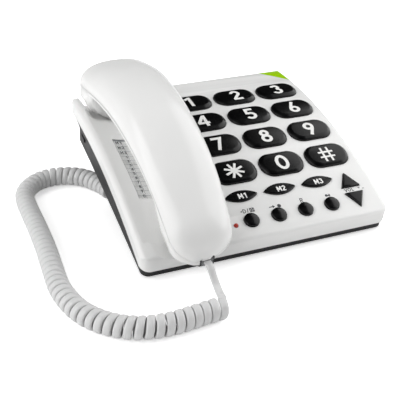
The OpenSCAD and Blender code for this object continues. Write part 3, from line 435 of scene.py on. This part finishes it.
def through(values, s):
    """The smooth curve through five even stations, at place s from 0 to 1."""
    i = min(int(s * 4), 3)
    u = s * 4 - i
    a, b, c, d = (values[min(max(j, 0), 4)] for j in (i - 1, i, i + 1, i + 2))
    first = (c - b) * END_CHORD - (d - b) * END_TURN if i == 0 else (c - a) / 2
    last = (c - b) * END_CHORD - (c - a) * END_TURN if i == 3 else (d - b) / 2
    return ((2 * u ** 3 - 3 * u * u + 1) * b + (u ** 3 - 2 * u * u + u) * first
            + (3 * u * u - 2 * u ** 3) * c + (u ** 3 - u * u) * last)


def end_share(distance, reach):
    """Share of the full section at a distance from a rounded end."""
    left = 1 - min(distance / reach, 1)
    return (1 - left ** END_POWER) ** (1 / END_POWER)


def askew(point):
    """A point of the handset, turned with it in the cradle where nothing seats it."""
    x, y, z = BASE.inverted() @ point / MM
    seat = SEAT_Z[0] + (SEAT_Z[1] - SEAT_Z[0]) * eased((y - SPREAD_Y) / SPREAD_LONG)
    beside = eased((abs(x - NOTCH_X) - NOTCH_HALF) / JACK_SIDE)
    jack = (1 - beside) * eased((NOTCH_Y + JACK_LONG - y) / JACK_LONG)
    free = eased((z - seat) / SEAT_SPAN) * (1 - jack * (1 - eased((z - NOTCH_Z) / JACK_HIGH)))
    spread = EAR_SPREAD * eased((y - SPREAD_Y) / SPREAD_LONG) * (x - GRIP_X)
    return BASE @ place(x + free * (ASKEW * (STRAIGHT_Y - y) + spread), y, z)


def crown(bm, along=72, across=40):
    """The handset's back as one smooth skin over its parting line, open for the jack."""
    bmesh.ops.create_grid(bm, x_segments=across, y_segments=along, size=1)
    long = GRIP_REAR - GRIP_FRONT
    # Sine steps crowd the grid's lines where the skin turns down, at its sides and its ends.
    for v in bm.verts:
        u = math.sin(v.co.x * math.pi / 2)
        s = (1 - math.sin(v.co.y * math.pi / 2)) / 2
        share = end_share(s * long, REAR_ROUND) * end_share((1 - s) * long, FRONT_ROUND)
        low = through(CREASE_Z, s) + PARTING
        swell = max(1 - abs(u) ** CROWN_POWER, 0) ** (1 / CROWN_POWER)
        x = GRIP_X + through(HALF_W, s) * share * u
        y = GRIP_REAR - long * s
        z = low + (through(TOP_Z, s) - low) * share * swell
        if abs(x - NOTCH_X) < NOTCH_HALF and y < NOTCH_Y:
            z = max(z, NOTCH_Z)
        v.co = askew(BASE @ place(x, y, z))
    bmesh.ops.recalc_face_normals(bm, faces=bm.faces)


bm = bmesh.new()
crown(bm)
handset_back = mesh_piece("handset_back_moulding", bm, white_abs, sharp=60)
wall = handset_back.modifiers.new("shell_wall", "SOLIDIFY")
wall.thickness = GRIP_WALL * MM
wall.offset = -1
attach(handset_back, "handset")
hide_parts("handset_back")
moulded_copy("handset_front", white_abs, 0, sharp=50, body="handset", moved=askew)
moulded_copy("handset_screws", zinc_steel, 0, body="handset", moved=askew)

# %% [markdown]
# ## Keys
# The big keys are satin black caps with a wide sloping rim, which catches the light below each
# numeral. Each cap is a block whose corners are rounded, whose top is drawn in and whose edges are
# then softened. The numerals are printed on the top.

# %% Where each key stands
DIGIT_PITCH_X, DIGIT_PITCH_Y = 37.3, 29.2
DIGIT_X, DIGIT_Y = 31.1, -36.7
MEMORY_X, MEMORY_PITCH, MEMORY_Y = 19.7, 29.7, -59
ROUND_X, ROUND_PITCH, ROUND_Y = 20.8, 20.7, -79.3
VOLUME_X, VOLUME_UP_Y, VOLUME_DOWN_Y = 72.6, -62.4, -79.6
digit_keys = {name: (DIGIT_X + (i % 3 - 1) * DIGIT_PITCH_X, DIGIT_Y + (3 - i // 3) * DIGIT_PITCH_Y)
              for i, name in enumerate(("key_1", "key_2", "key_3", "key_4", "key_5", "key_6",
                                        "key_7", "key_8", "key_9", "key_star", "key_0", "key_hash"))}
memory_keys = {"memory_%d" % i: (MEMORY_X + (i - 2) * MEMORY_PITCH, MEMORY_Y) for i in (1, 2, 3)}
round_keys = {name: (ROUND_X + (i - 1.5) * ROUND_PITCH, ROUND_Y)
              for i, name in enumerate(("key_mute", "key_redial", "key_recall", "key_speaker"))}
volume_keys = {"volume_up": (VOLUME_X, VOLUME_UP_Y), "volume_down": (VOLUME_X, VOLUME_DOWN_Y)}

# %% Caps
DIGIT_SIZE = (33.5, 21.5)
DIGIT_CORNER, DIGIT_RISE = 9.5, 2.8
DIGIT_SLOPE, DIGIT_SOFT = (2.5, 1.5), 0.4
CAP_DEEP = 3.6
FLANGE, FLANGE_T = 1.2, 1.2
STEM_LONG = 5.0
STEM_D, SMALL_STEM_D = 8, 5
CORNER_POINTS, ARC_POINTS = 12, 40


def round_block(w, l, r):
    """The outline of a block with round corners, counted from the rear right."""
    corners = ((w / 2 - r, l / 2 - r, 0), (r - w / 2, l / 2 - r, 90), (r - w / 2, r - l / 2, 180),
               (w / 2 - r, r - l / 2, 270))
    return [(cx + r * math.cos(math.radians(a + 90 * i / CORNER_POINTS)),
             cy + r * math.sin(math.radians(a + 90 * i / CORNER_POINTS)))
            for cx, cy, a in corners for i in range(CORNER_POINTS + 1)]


def pointed_oval(w, l):
    """The outline that two arcs of the same radius make between their crossings."""
    r = (w * w + l * l) / (4 * l)
    half = math.asin(w / 2 / r)
    arcs = [(r * math.sin(a), r * math.cos(a) + l / 2 - r)
            for a in [half - 2 * half * i / ARC_POINTS for i in range(ARC_POINTS)]]
    return arcs + [(-x, -y) for x, y in arcs]


def circle(d, points=48):
    """The outline of a circle."""
    turn = 2 * math.pi / points
    return [(d / 2 * math.cos(i * turn), d / 2 * math.sin(i * turn)) for i in range(points)]


def triangle(w, l, s):
    """The outline of a triangle that points to the rear (s = 1) or to the front (s = -1)."""
    return [(0, s * l / 2), (-s * w / 2, -s * l / 2), (s * w / 2, -s * l / 2)]


def slab(bm, outline, low, high):
    """Add an outline to a mesh as a solid between two heights, and return its top face."""
    rim = bmesh.ops.create_circle(bm, cap_ends=True, segments=len(outline), radius=1)["verts"]
    for v, (x, y) in zip(rim, outline):
        v.co = place(x, y, low)
    under = next(f for f in rim[0].link_faces)
    grown = bmesh.ops.extrude_face_region(bm, geom=[under])["geom"]
    for v in grown:
        if isinstance(v, bmesh.types.BMVert):
            v.co.z = high * MM
    return next(f for f in grown if isinstance(f, bmesh.types.BMFace))


def cap(outline, grown_outline, rise, slope, stem_d, soft):
    """A key: the cap with its sloping rim, the flange that keeps it in, and the stem to the mat."""
    slope_w, slope_h = slope
    bm = bmesh.new()
    top = slab(bm, outline, -CAP_DEEP, rise - slope_h)
    rim = list(top.edges)
    bmesh.ops.inset_region(bm, faces=[top], thickness=slope_w * MM, depth=slope_h * MM,
                           use_even_offset=True)
    bmesh.ops.bevel(bm, geom=list(top.edges) + rim, offset=soft * MM, segments=3, profile=0.5,
                    affect="EDGES", material=-1, clamp_overlap=True)
    slab(bm, grown_outline, -CAP_DEEP - FLANGE_T, -CAP_DEEP)
    slab(bm, circle(stem_d, 24), -CAP_DEEP - FLANGE_T - STEM_LONG, -CAP_DEEP - FLANGE_T)
    bmesh.ops.recalc_face_normals(bm, faces=bm.faces)
    return bm


def key_piece(key, bm, at):
    """Stand a key made about the origin on the face, as the piece of that key."""
    bm.transform(on_face(*at))
    piece = mesh_piece(key + "_cap", bm, key_abs, sharp=50)
    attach(piece, key)
    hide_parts(key)


for key, at in digit_keys.items():
    w, l = DIGIT_SIZE
    key_piece(key, cap(round_block(w, l, DIGIT_CORNER),
                       round_block(w + 2 * FLANGE, l + 2 * FLANGE, DIGIT_CORNER + FLANGE),
                       DIGIT_RISE, DIGIT_SLOPE, STEM_D, DIGIT_SOFT), at)
print(len(digit_keys), "large keys")

# %% Pointed ovals for the memories and triangles for the volume
LENS_SIZE, LENS_RISE, LENS_SLOPE, LENS_SOFT = (24.6, 9.0), 1.6, (0.7, 0.35), 0.15
WEDGE_SIZE, WEDGE_RISE, WEDGE_SLOPE, WEDGE_SOFT = (14.2, 12.6), 1.8, (0.9, 0.5), 0.25

for key, at in memory_keys.items():
    w, l = LENS_SIZE
    key_piece(key, cap(pointed_oval(w, l), pointed_oval(w + 2 * FLANGE, l + 2 * FLANGE), LENS_RISE,
                       LENS_SLOPE, SMALL_STEM_D, LENS_SOFT), at)
for key, at in volume_keys.items():
    w, l = WEDGE_SIZE
    s = 1 if key == "volume_up" else -1
    key_piece(key, cap(triangle(w, l, s), triangle(w + 2 * FLANGE, l + 2 * FLANGE, s), WEDGE_RISE,
                       WEDGE_SLOPE, SMALL_STEM_D, WEDGE_SOFT), at)

# %% Round keys: turned domes, so their outline is spun
ROUND_D, DOME_R, ROUND_RISE = 10.7, 12.0, 2.8
DOME_STEPS, DOME_SOFT = 10, 0.35


def dome_key(d, dome_r, rise):
    """A round key with a domed top, its flange and its stem, spun about its own axis."""
    edge = math.asin(d / 2 / dome_r)
    dome = [(dome_r * math.sin(edge * i / DOME_STEPS),
             rise - dome_r * (1 - math.cos(edge * i / DOME_STEPS))) for i in range(DOME_STEPS + 1)]
    low = -CAP_DEEP - FLANGE_T
    stem_r = SMALL_STEM_D / 2
    outline = dome + [(d / 2, -CAP_DEEP), (d / 2 + FLANGE, -CAP_DEEP), (d / 2 + FLANGE, low),
                      (stem_r, low), (stem_r, low - STEM_LONG), (0, low - STEM_LONG)]
    bm = bmesh.new()
    line = [bm.verts.new(place(x, 0, z)) for x, z in outline]
    edges = [bm.edges.new(pair) for pair in zip(line, line[1:])]
    bmesh.ops.spin(bm, geom=line + edges, cent=(0, 0, 0), axis=(0, 0, 1), angle=2 * math.pi,
                   steps=48, use_merge=True)
    bmesh.ops.remove_doubles(bm, verts=bm.verts, dist=0.001 * MM)
    bmesh.ops.recalc_face_normals(bm, faces=bm.faces)
    rim = [e for e in bm.edges if abs(e.verts[0].co.z - dome[-1][1] * MM) < 1e-7
           and abs(e.verts[1].co.z - dome[-1][1] * MM) < 1e-7]
    bmesh.ops.bevel(bm, geom=rim, offset=DOME_SOFT * MM, segments=3, profile=0.5, affect="EDGES",
                    material=-1)
    return bm


for key, at in round_keys.items():
    key_piece(key, dome_key(ROUND_D, DOME_R, ROUND_RISE), at)
print(len(round_keys), "round keys")

# %% [markdown]
# ## Print
# The numerals are pad printed on the caps in bold, even strokes, and the small marks are printed on
# the cover in dark grey. Each sign is a few strokes: lines and arcs of one weight, laid as a thin
# film of ink. A sign is drawn 10 units high about its own middle and then scaled.

# %% Strokes of the signs
def arc(cx, cy, rx, ry, start, end, steps=28):
    """Points of an arc between two angles in degrees."""
    angles = [math.radians(start + (end - start) * i / steps) for i in range(steps + 1)]
    return [(cx + rx * math.cos(a), cy + ry * math.sin(a)) for a in angles]


def turned(strokes):
    """Strokes turned half round."""
    return [[(-x, -y) for x, y in stroke] for stroke in strokes]


def spokes(count, reach):
    """Strokes through the middle, evenly turned, none of them upright."""
    angles = [math.pi * (i + 0.5) / count for i in range(count)]
    return [[(reach * math.cos(a), reach * math.sin(a)), (-reach * math.cos(a), -reach * math.sin(a))]
            for a in angles]


SIX = [arc(0.1, -2.0, 2.15, 2.13, 0, 360), [(1.0, 5), (-1.95, -1.1)]]
SIGNS = {
    "0": [arc(0, 0, 2.65, 4.13, 0, 360)],
    "1": [[(0.8, -5), (0.8, 5)], [(0.7, 4.2), (-2.0, 2.5)]],
    "2": [arc(-0.1, 2.03, 2.1, 2.1, 172, -38) + [(-2.3, -4.13)], [(-2.75, -4.13), (2.9, -4.13)]],
    "3": [arc(-0.2, 2.35, 1.78, 1.78, 165, -90), arc(-0.2, -1.9, 2.25, 2.23, 90, -165)],
    "4": [[(1.3, -5), (1.3, 5)], [(1.0, 4.5), (-2.9, -1.9)], [(-3.3, -2.0), (3.2, -2.0)]],
    "5": [[(2.4, 4.13), (-1.55, 4.13), (-1.85, -0.2)], arc(-0.15, -1.75, 2.4, 2.38, 128, -155)],
    "6": SIX,
    "7": [[(-2.8, 4.13), (2.3, 4.13), (-1.0, -5)]],
    "8": [arc(0, 2.35, 1.78, 1.78, 0, 360), arc(0, -1.95, 2.2, 2.18, 0, 360)],
    "9": turned(SIX),
    "*": spokes(4, 5.2),
    "#": [[(-1.75, -5), (-1.75, 5)], [(1.75, -5), (1.75, 5)], [(-4.2, 1.7), (4.2, 1.7)],
          [(-4.2, -1.7), (4.2, -1.7)]],
    "M": [[(-2.9, -5), (-2.9, 5)], [(2.9, -5), (2.9, 5)], [(-2.8, 4.6), (0, -2.4)],
          [(2.8, 4.6), (0, -2.4)]],
    "R": [[(-2, -5), (-2, 5)], [(-2, 4.3)] + arc(0.3, 2.25, 2.0, 2.05, 90, -90) + [(-2, 0.2)],
          [(0.2, 0.2), (2.3, -5)]],
    "V": [[(-3, 5), (0, -4.8)], [(3, 5), (0, -4.8)]],
    "O": [arc(0, 0, 3.3, 4.3, 0, 360)],
    "L": [[(-1.9, 5), (-1.9, -5)], [(-1.9, -4.3), (2.4, -4.3)]],
    "+": [[(-4, 0), (4, 0)], [(0, -4), (0, 4)]],
    "-": [[(-4, 0), (4, 0)]],
    "arrow": [[(-6, 0), (0, 0)], [(0.5, 2.2), (0.5, -2.2)], [(1.6, 1.3), (1.6, -1.3)],
              [(2.6, 0.6), (2.6, -0.6)]],
    "dot": [arc(0, 0, 1.6, 1.6, 0, 360)],
    "bell": [[(-6.5, 0), (-4.2, 0)], [(-4.3, 1.6), (-4.3, -1.6)], [(-1.6, 4), (-1.6, -4)],
             [(-1.6, 3.6)] + arc(-0.4, 0, 3.4, 3.6, 80, -80) + [(-1.6, -3.6)]],
    "slash": [[(-1.2, -5), (1.2, 5)]],
    "crossed box": [[(-4, -4), (-4, 4), (4, 4), (4, -4), (-4.7, -4)], [(-3.5, -3.5), (3.5, 3.5)],
                    [(-3.5, 3.5), (3.5, -3.5)]],
    "loud handset": [arc(-2.2, 0.8, 1.5, 1.5, 0, 360), [(-2, 1), (3.4, -0.6)], [(2.4, 2.2), (4.6, 1.2)],
                     [(3.2, -2.4), (3.4, 0.4)]],
}
print(len(SIGNS), "signs")


# %% Lay strokes as a film of ink
INK_T, INK_STEP = 0.06, 0.006
MITRE_MOST = 2.0


def stroke_side(points, i, weight):
    """The offset from point i of a stroke to its left edge, mitred at corners."""
    closed = (Vector(points[0]) - Vector(points[-1])).length < 1e-6
    last = len(points) - 1
    before = points[i - 1] if i else (points[last - 1] if closed else None)
    after = points[i + 1] if i < last else (points[1] if closed else None)
    here = Vector(points[i])
    runs = [(here - Vector(before)).normalized()] if before else []
    runs += [(Vector(after) - here).normalized()] if after else []
    along = sum(runs, Vector((0, 0))).normalized()
    left = Vector((-along.y, along.x))
    run_left = Vector((-runs[0].y, runs[0].x))
    return left * min(weight / 2 / left.dot(run_left), MITRE_MOST * weight / 2)


def ink(bm, strokes, weight, height, at):
    """Add strokes to a mesh as thin solids, height millimetres for 10 units, moved by matrix at."""
    unit = height / 10
    for n, points in enumerate(strokes):
        pair, rail, film = [], None, []
        for i, point in enumerate(points):
            side = stroke_side(points, i, weight / unit)
            ends = [place(*(Vector(point) + side) * unit, 0), place(*(Vector(point) - side) * unit, 0)]
            if rail is None:
                pair = [bm.verts.new(end) for end in ends]
                rail = bm.edges.new(pair)
                continue
            old = rail
            grown = bmesh.ops.extrude_edge_only(bm, edges=[old])["geom"]
            film += [f for f in grown if isinstance(f, bmesh.types.BMFace)]
            rail = next(e for e in grown if isinstance(e, bmesh.types.BMEdge)
                        and not set(e.verts) & set(old.verts))
            pair = [next(e.other_vert(v) for e in v.link_edges if e.other_vert(v) in rail.verts)
                    for v in pair]
            for v, end in zip(pair, ends):
                v.co = end
        low = {v for f in film for v in f.verts}
        grown = bmesh.ops.extrude_face_region(bm, geom=film)["geom"]
        high = [v for v in grown if isinstance(v, bmesh.types.BMVert)]
        for v in high:
            v.co.z = (INK_T + INK_STEP * n) * MM
        bmesh.ops.transform(bm, matrix=at, verts=list(low.union(high)))


def printed(name, body, signs, material):
    """Signs as one piece: each is (name of the sign, its frame, its height, its stroke's weight)."""
    bm = bmesh.new()
    for sign, at, height, weight in signs:
        ink(bm, SIGNS[sign], weight, height, at)
    bmesh.ops.recalc_face_normals(bm, faces=bm.faces)
    piece = mesh_piece(name, bm, material, sharp=30)
    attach(piece, body)


# %% Numerals on the keys
NUMERAL_H, NUMERAL_W = 14.2, 2.5
NUMERAL_Y = -0.9
# Signs that stand off the middle of their key, and signs drawn lighter than the numerals.
NUMERAL_X = {"1": -1.4, "4": -1.3, "7": -1.1, "2": 1.2, "5": 0.4, "6": 0.3, "*": -0.5, "#": -0.7}
LIGHTER = {"*": 1.85, "#": 1.6}
LABEL_H, LABEL_W = 4.5, 0.9
LABEL_Y, LABEL_M_X, LABEL_DIGIT_X = -0.7, -0.8, 2.8
for key, (x, y) in digit_keys.items():
    sign = {"key_star": "*", "key_hash": "#"}.get(key, key[-1])
    at = on_face(x + NUMERAL_X.get(sign, 0), y + NUMERAL_Y, DIGIT_RISE)
    printed(key + "_numeral", key, [(sign, at, NUMERAL_H, LIGHTER.get(sign, NUMERAL_W))], white_ink)
for key, (x, y) in memory_keys.items():
    signs = [("M", x + LABEL_M_X), (key[-1], x + LABEL_DIGIT_X)]
    printed(key + "_label", key, [(sign, on_face(across, y + LABEL_Y, LENS_RISE), LABEL_H, LABEL_W)
                                  for sign, across in signs], white_ink)
print("numerals", NUMERAL_H, "mm high")

# %% Small marks on the cover
MARK_Y = -71.3
MARK_W = 0.5
VOLUME_H = 3.0
VOLUME_Y = -70.7
# Each mark has its name, its place across and along the face, its height and its weight.
marks = [("bell", -12.7, MARK_Y, 4.0, MARK_W), ("slash", -9.9, MARK_Y, 3.4, MARK_W),
         ("crossed box", -6.7, MARK_Y, 3.6, MARK_W), ("arrow", 8.8, MARK_Y - 0.8, 4.6, 0.65),
         ("dot", 13.6, MARK_Y - 1, 4.4, 1.4), ("R", 31.3, MARK_Y - 0.4, 4.0, MARK_W),
         ("loud handset", 52.1, MARK_Y - 0.7, 4.2, 0.9), ("V", 67.7, VOLUME_Y, VOLUME_H, MARK_W),
         ("O", 70.4, VOLUME_Y, VOLUME_H, MARK_W), ("L", 73.1, VOLUME_Y, VOLUME_H, MARK_W),
         ("+", 78.3, VOLUME_Y + 0.3, 2.0, 0.42), ("-", 81.3, VOLUME_Y - 0.8, 2.0, 0.42)]
printed("cover_marks", "base", [(sign, on_face(x, y), height, weight)
                                for sign, x, y, height, weight in marks], grey_ink)

# %% [markdown]
# ## Index strip
# A printed card for the numbers of the memories lies under a clear window, in the slope of the
# cradle. Its print is three wide rows, ten narrow ones and two columns; the dark bar at its head is
# painted shade, for the shade in the notch where the window is lifted.

# %% The card's print, ruled across the slope
# Distances along the slope count from the middle of the body to the rear.
# The band at the card's head, before CARD_TOP, is painted in the rule colour as shade, for the shade in
# the notch where the window is lifted.
CARD_HEAD, NOTCH_SHADE_BAND = 26, 1.7
CARD_TOP = CARD_HEAD - NOTCH_SHADE_BAND
WIDE_PITCH, WIDE_ROWS = 6.4, 3
ROW_PITCH = 4.6
RULE = 0.26
COLUMNS = (-77.1, -71.4)
CARD_W = 0.5
TROUGH_X, TROUGH_R, TROUGH_DEEP = -59.5, 61.5, 7


def ruled_card(name, paper_hex, rule_and_shade_hex):
    """Card with wide and narrow rows, two columns and, at its head, a dark bar of painted shade."""
    material = moulded(name, paper_hex, 0.7, 0.5, 0.004, mottle=0.02)
    tree = material.node_tree
    shader = tree.nodes["Principled BSDF"]
    paper = shader.inputs["Base Color"].links[0].from_socket

    def maths(operation, first, second):
        node = add_node(tree, "ShaderNodeMath", settings={"operation": operation}, links={0: first})
        if isinstance(second, float):
            node.inputs[1].default_value = second
        else:
            tree.links.new(second, node.inputs[1])
        return node.outputs[0]

    def ruled(distance, pitch):
        rows = maths("DIVIDE", distance, pitch * MM)
        return maths("LESS_THAN", maths("FRACT", rows, 0.0), RULE / pitch)

    where = add_node(tree, "ShaderNodeTexCoord").outputs["Object"]
    flat = add_node(tree, "ShaderNodeMapping", settings={"vector_type": "TEXTURE"},
                    values={"Location": place(0, DESK_Y - BODY / 2, FOOT_H), "Rotation": (TILT, 0, 0)},
                    links={"Vector": where})
    axes = add_node(tree, "ShaderNodeSeparateXYZ", links={"Vector": flat.outputs["Vector"]})
    past_notch_shade = maths("SUBTRACT", axes.outputs["Y"], (BODY / 2 + CARD_TOP) * MM)
    down = maths("MULTIPLY", past_notch_shade, -1.0)
    past = maths("SUBTRACT", down, WIDE_ROWS * WIDE_PITCH * MM)
    narrow = maths("MULTIPLY", ruled(past, ROW_PITCH), maths("GREATER_THAN", past, 0.0))
    wide = maths("MULTIPLY", ruled(down, WIDE_PITCH), maths("LESS_THAN", past, 0.0))
    # The rows and columns are print; the head of the card, before the first row, is painted shade in the
    # same grey.
    dark = maths("MAXIMUM", maths("MAXIMUM", narrow, wide), maths("LESS_THAN", down, 0.0))
    for column in COLUMNS:
        off = maths("ABSOLUTE", maths("SUBTRACT", axes.outputs["X"], column * MM), 0.0)
        dark = maths("MAXIMUM", dark, maths("LESS_THAN", off, RULE / 2 * MM))
    mix = add_node(tree, "ShaderNodeMix", settings={"data_type": "RGBA"}, links={0: dark, 6: paper})
    mix.inputs[7].default_value = linear(rule_and_shade_hex)
    tree.links.new(mix.outputs[2], shader.inputs["Base Color"])
    return material


def on_trough(x, y):
    """The frame on the cradle's round slope at (x, y)."""
    turn = math.asin((x - TROUGH_X) / TROUGH_R)
    return (on_face(TROUGH_X, y, TROUGH_R - TROUGH_DEEP) @ Matrix.Rotation(-turn, 4, "Y")
            @ Matrix.Translation(place(0, 0, -TROUGH_R)))


moulded_copy("index_label", ruled_card("ruled_index_card", "#FDFDFC", "#A6A8AC"), 0)
moulded_copy("index_cover", clear_window, 0)
card_marks = [(sign, x, CARD_TOP - WIDE_PITCH * (row + 0.5), 3.0)
              for row in range(WIDE_ROWS) for sign, x in (("M", -75.2), (str(row + 1), -72.5))]
card_marks += [(sign, -73.2, CARD_TOP - WIDE_ROWS * WIDE_PITCH - ROW_PITCH * (row + 0.5), 2.6)
               for row, sign in enumerate("1234567890")]
printed("index_rows", "base", [(sign, on_trough(x, y), height, CARD_W)
                               for sign, x, y, height in card_marks], card_ink)
print(len(card_marks), "signs on the card")

# %% [markdown]
# ## What shows less
# The parts inside and underneath keep the solids' shapes, which are right as they are, and get the
# material that each is made of.

# %% Materials of the remaining solids
finishes = {
    lamp_red: ["lamp_lens"],
    solder_mask: ["circuit_board"],
    grey_rubber: ["key_mat", "receiver_gasket"],
    zinc_steel: ["board_screws", "base_screws", "ballast_plate", "handset_weight"],
    black_rubber: ["rubber_feet"],
    dark_nylon: ["ringer_speaker", "hook_switch", "line_jack", "cord_jack", "receiver", "microphone",
                 "handset_jack"],
    clear_pc: ["plug_handset", "plug_base"],
}
for material, names in finishes.items():
    for name in names:
        data = nodes[name].data
        data.materials.clear()
        data.materials.append(material)
print(sum(len(names) for names in finishes.values()), "solids keep their own shape")

# %% [markdown]
# ## White sweep and light
# Such a phone is shown on a white sweep, lit by large soft boxes on both sides, which leave bright
# flanks on the handset and a greyer top. The desk under it stays white and takes only a faint shadow.
# The room is darker overhead, where the key tops mirror it, and in front, which grades the near end
# of the handset.

# %% The sweep
SWEEP = 6.0
bm = bmesh.new()
bmesh.ops.create_grid(bm, x_segments=1, y_segments=1, size=SWEEP / 2)
sweep_white = bpy.data.materials.new("white_sweep_paper")
sweep_white.use_nodes = True
tree = sweep_white.node_tree
tree.nodes.remove(tree.nodes["Principled BSDF"])
paper = add_node(tree, "ShaderNodeBsdfDiffuse", values={"Color": (1, 1, 1, 1)})
in_view = add_node(tree, "ShaderNodeLightPath").outputs["Is Camera Ray"]
half = add_node(tree, "ShaderNodeMath", settings={"operation": "MULTIPLY"}, links={0: in_view},
                values={1: 0.5})
glow = add_node(tree, "ShaderNodeEmission", links={"Strength": half.outputs["Value"]})
both = add_node(tree, "ShaderNodeAddShader", links={0: paper.outputs[0], 1: glow.outputs[0]})
tree.links.new(both.outputs[0], tree.nodes["Material Output"].inputs["Surface"])
sweep = mesh_piece("sweep", bm, sweep_white)

# %% World and soft boxes
OVERHEAD, TO_FRONT = (0.13, 0.6, 0.79), (-0.25, -0.95, 0.15)
world = bpy.data.worlds.new("white_room")
bpy.context.scene.world = world
world.use_nodes = True
tree = world.node_tree
sky = tree.nodes["Background"]
sky.inputs["Color"].default_value = (1, 1, 1, 1)
direction = add_node(tree, "ShaderNodeTexCoord").outputs["Generated"]
overhead = add_node(tree, "ShaderNodeVectorMath", settings={"operation": "DOT_PRODUCT"},
                  links={0: direction}, values={1: OVERHEAD})
room = add_node(tree, "ShaderNodeMapRange", links={"Value": overhead.outputs["Value"]},
                values={"From Min": 0.6, "From Max": 0.86, "To Min": 0.4, "To Max": 0.02})
to_front = add_node(tree, "ShaderNodeVectorMath", settings={"operation": "DOT_PRODUCT"},
                    links={0: direction}, values={1: TO_FRONT})
shade = add_node(tree, "ShaderNodeMapRange", links={"Value": to_front.outputs["Value"]},
                 values={"From Min": 0.0, "From Max": 0.7, "To Min": 1, "To Max": 0.04})
dimmed = add_node(tree, "ShaderNodeMath", settings={"operation": "MULTIPLY"},
                  links={0: room.outputs["Result"], 1: shade.outputs["Result"]})
seen = add_node(tree, "ShaderNodeLightPath").outputs["Is Camera Ray"]
strength = add_node(tree, "ShaderNodeMapRange", links={"Value": seen, "To Min": dimmed.outputs["Value"]},
                    values={"To Max": 1})
tree.links.new(strength.outputs["Result"], sky.inputs["Strength"])


def soft_box(name, at, aim, width, height, watts):
    """A rectangular soft box at a point, turned to a point, in metres."""
    data = bpy.data.lights.new(name, "AREA")
    data.shape = "RECTANGLE"
    data.size, data.size_y = width, height
    data.energy = watts
    lamp = bpy.data.objects.new(name, data)
    lamp.location = at
    lamp.rotation_mode = "QUATERNION"
    lamp.rotation_quaternion = (Vector(aim) - Vector(at)).to_track_quat("-Z", "Y")
    bpy.context.scene.collection.objects.link(lamp)


soft_box("left_box", (-1.3, -0.2, 0.8), (-0.03, 0, 0.03), 2.0, 1.5, 19.5)
soft_box("right_box", (1.2, 0, 0.8), (0, 0, 0.03), 2.0, 1.6, 16.5)
soft_box("near_box", (0.27, -0.25, 0.13), (0.06, -0.09, 0.02), 0.2, 0.12, 0.11)
soft_box("top_box", (0, 0.4, 1.4), (0, 0, 0.03), 1.2, 0.8, 6)
bpy.data.objects["top_box"].visible_glossy = False

bpy.context.scene.view_settings.view_transform = "Standard"
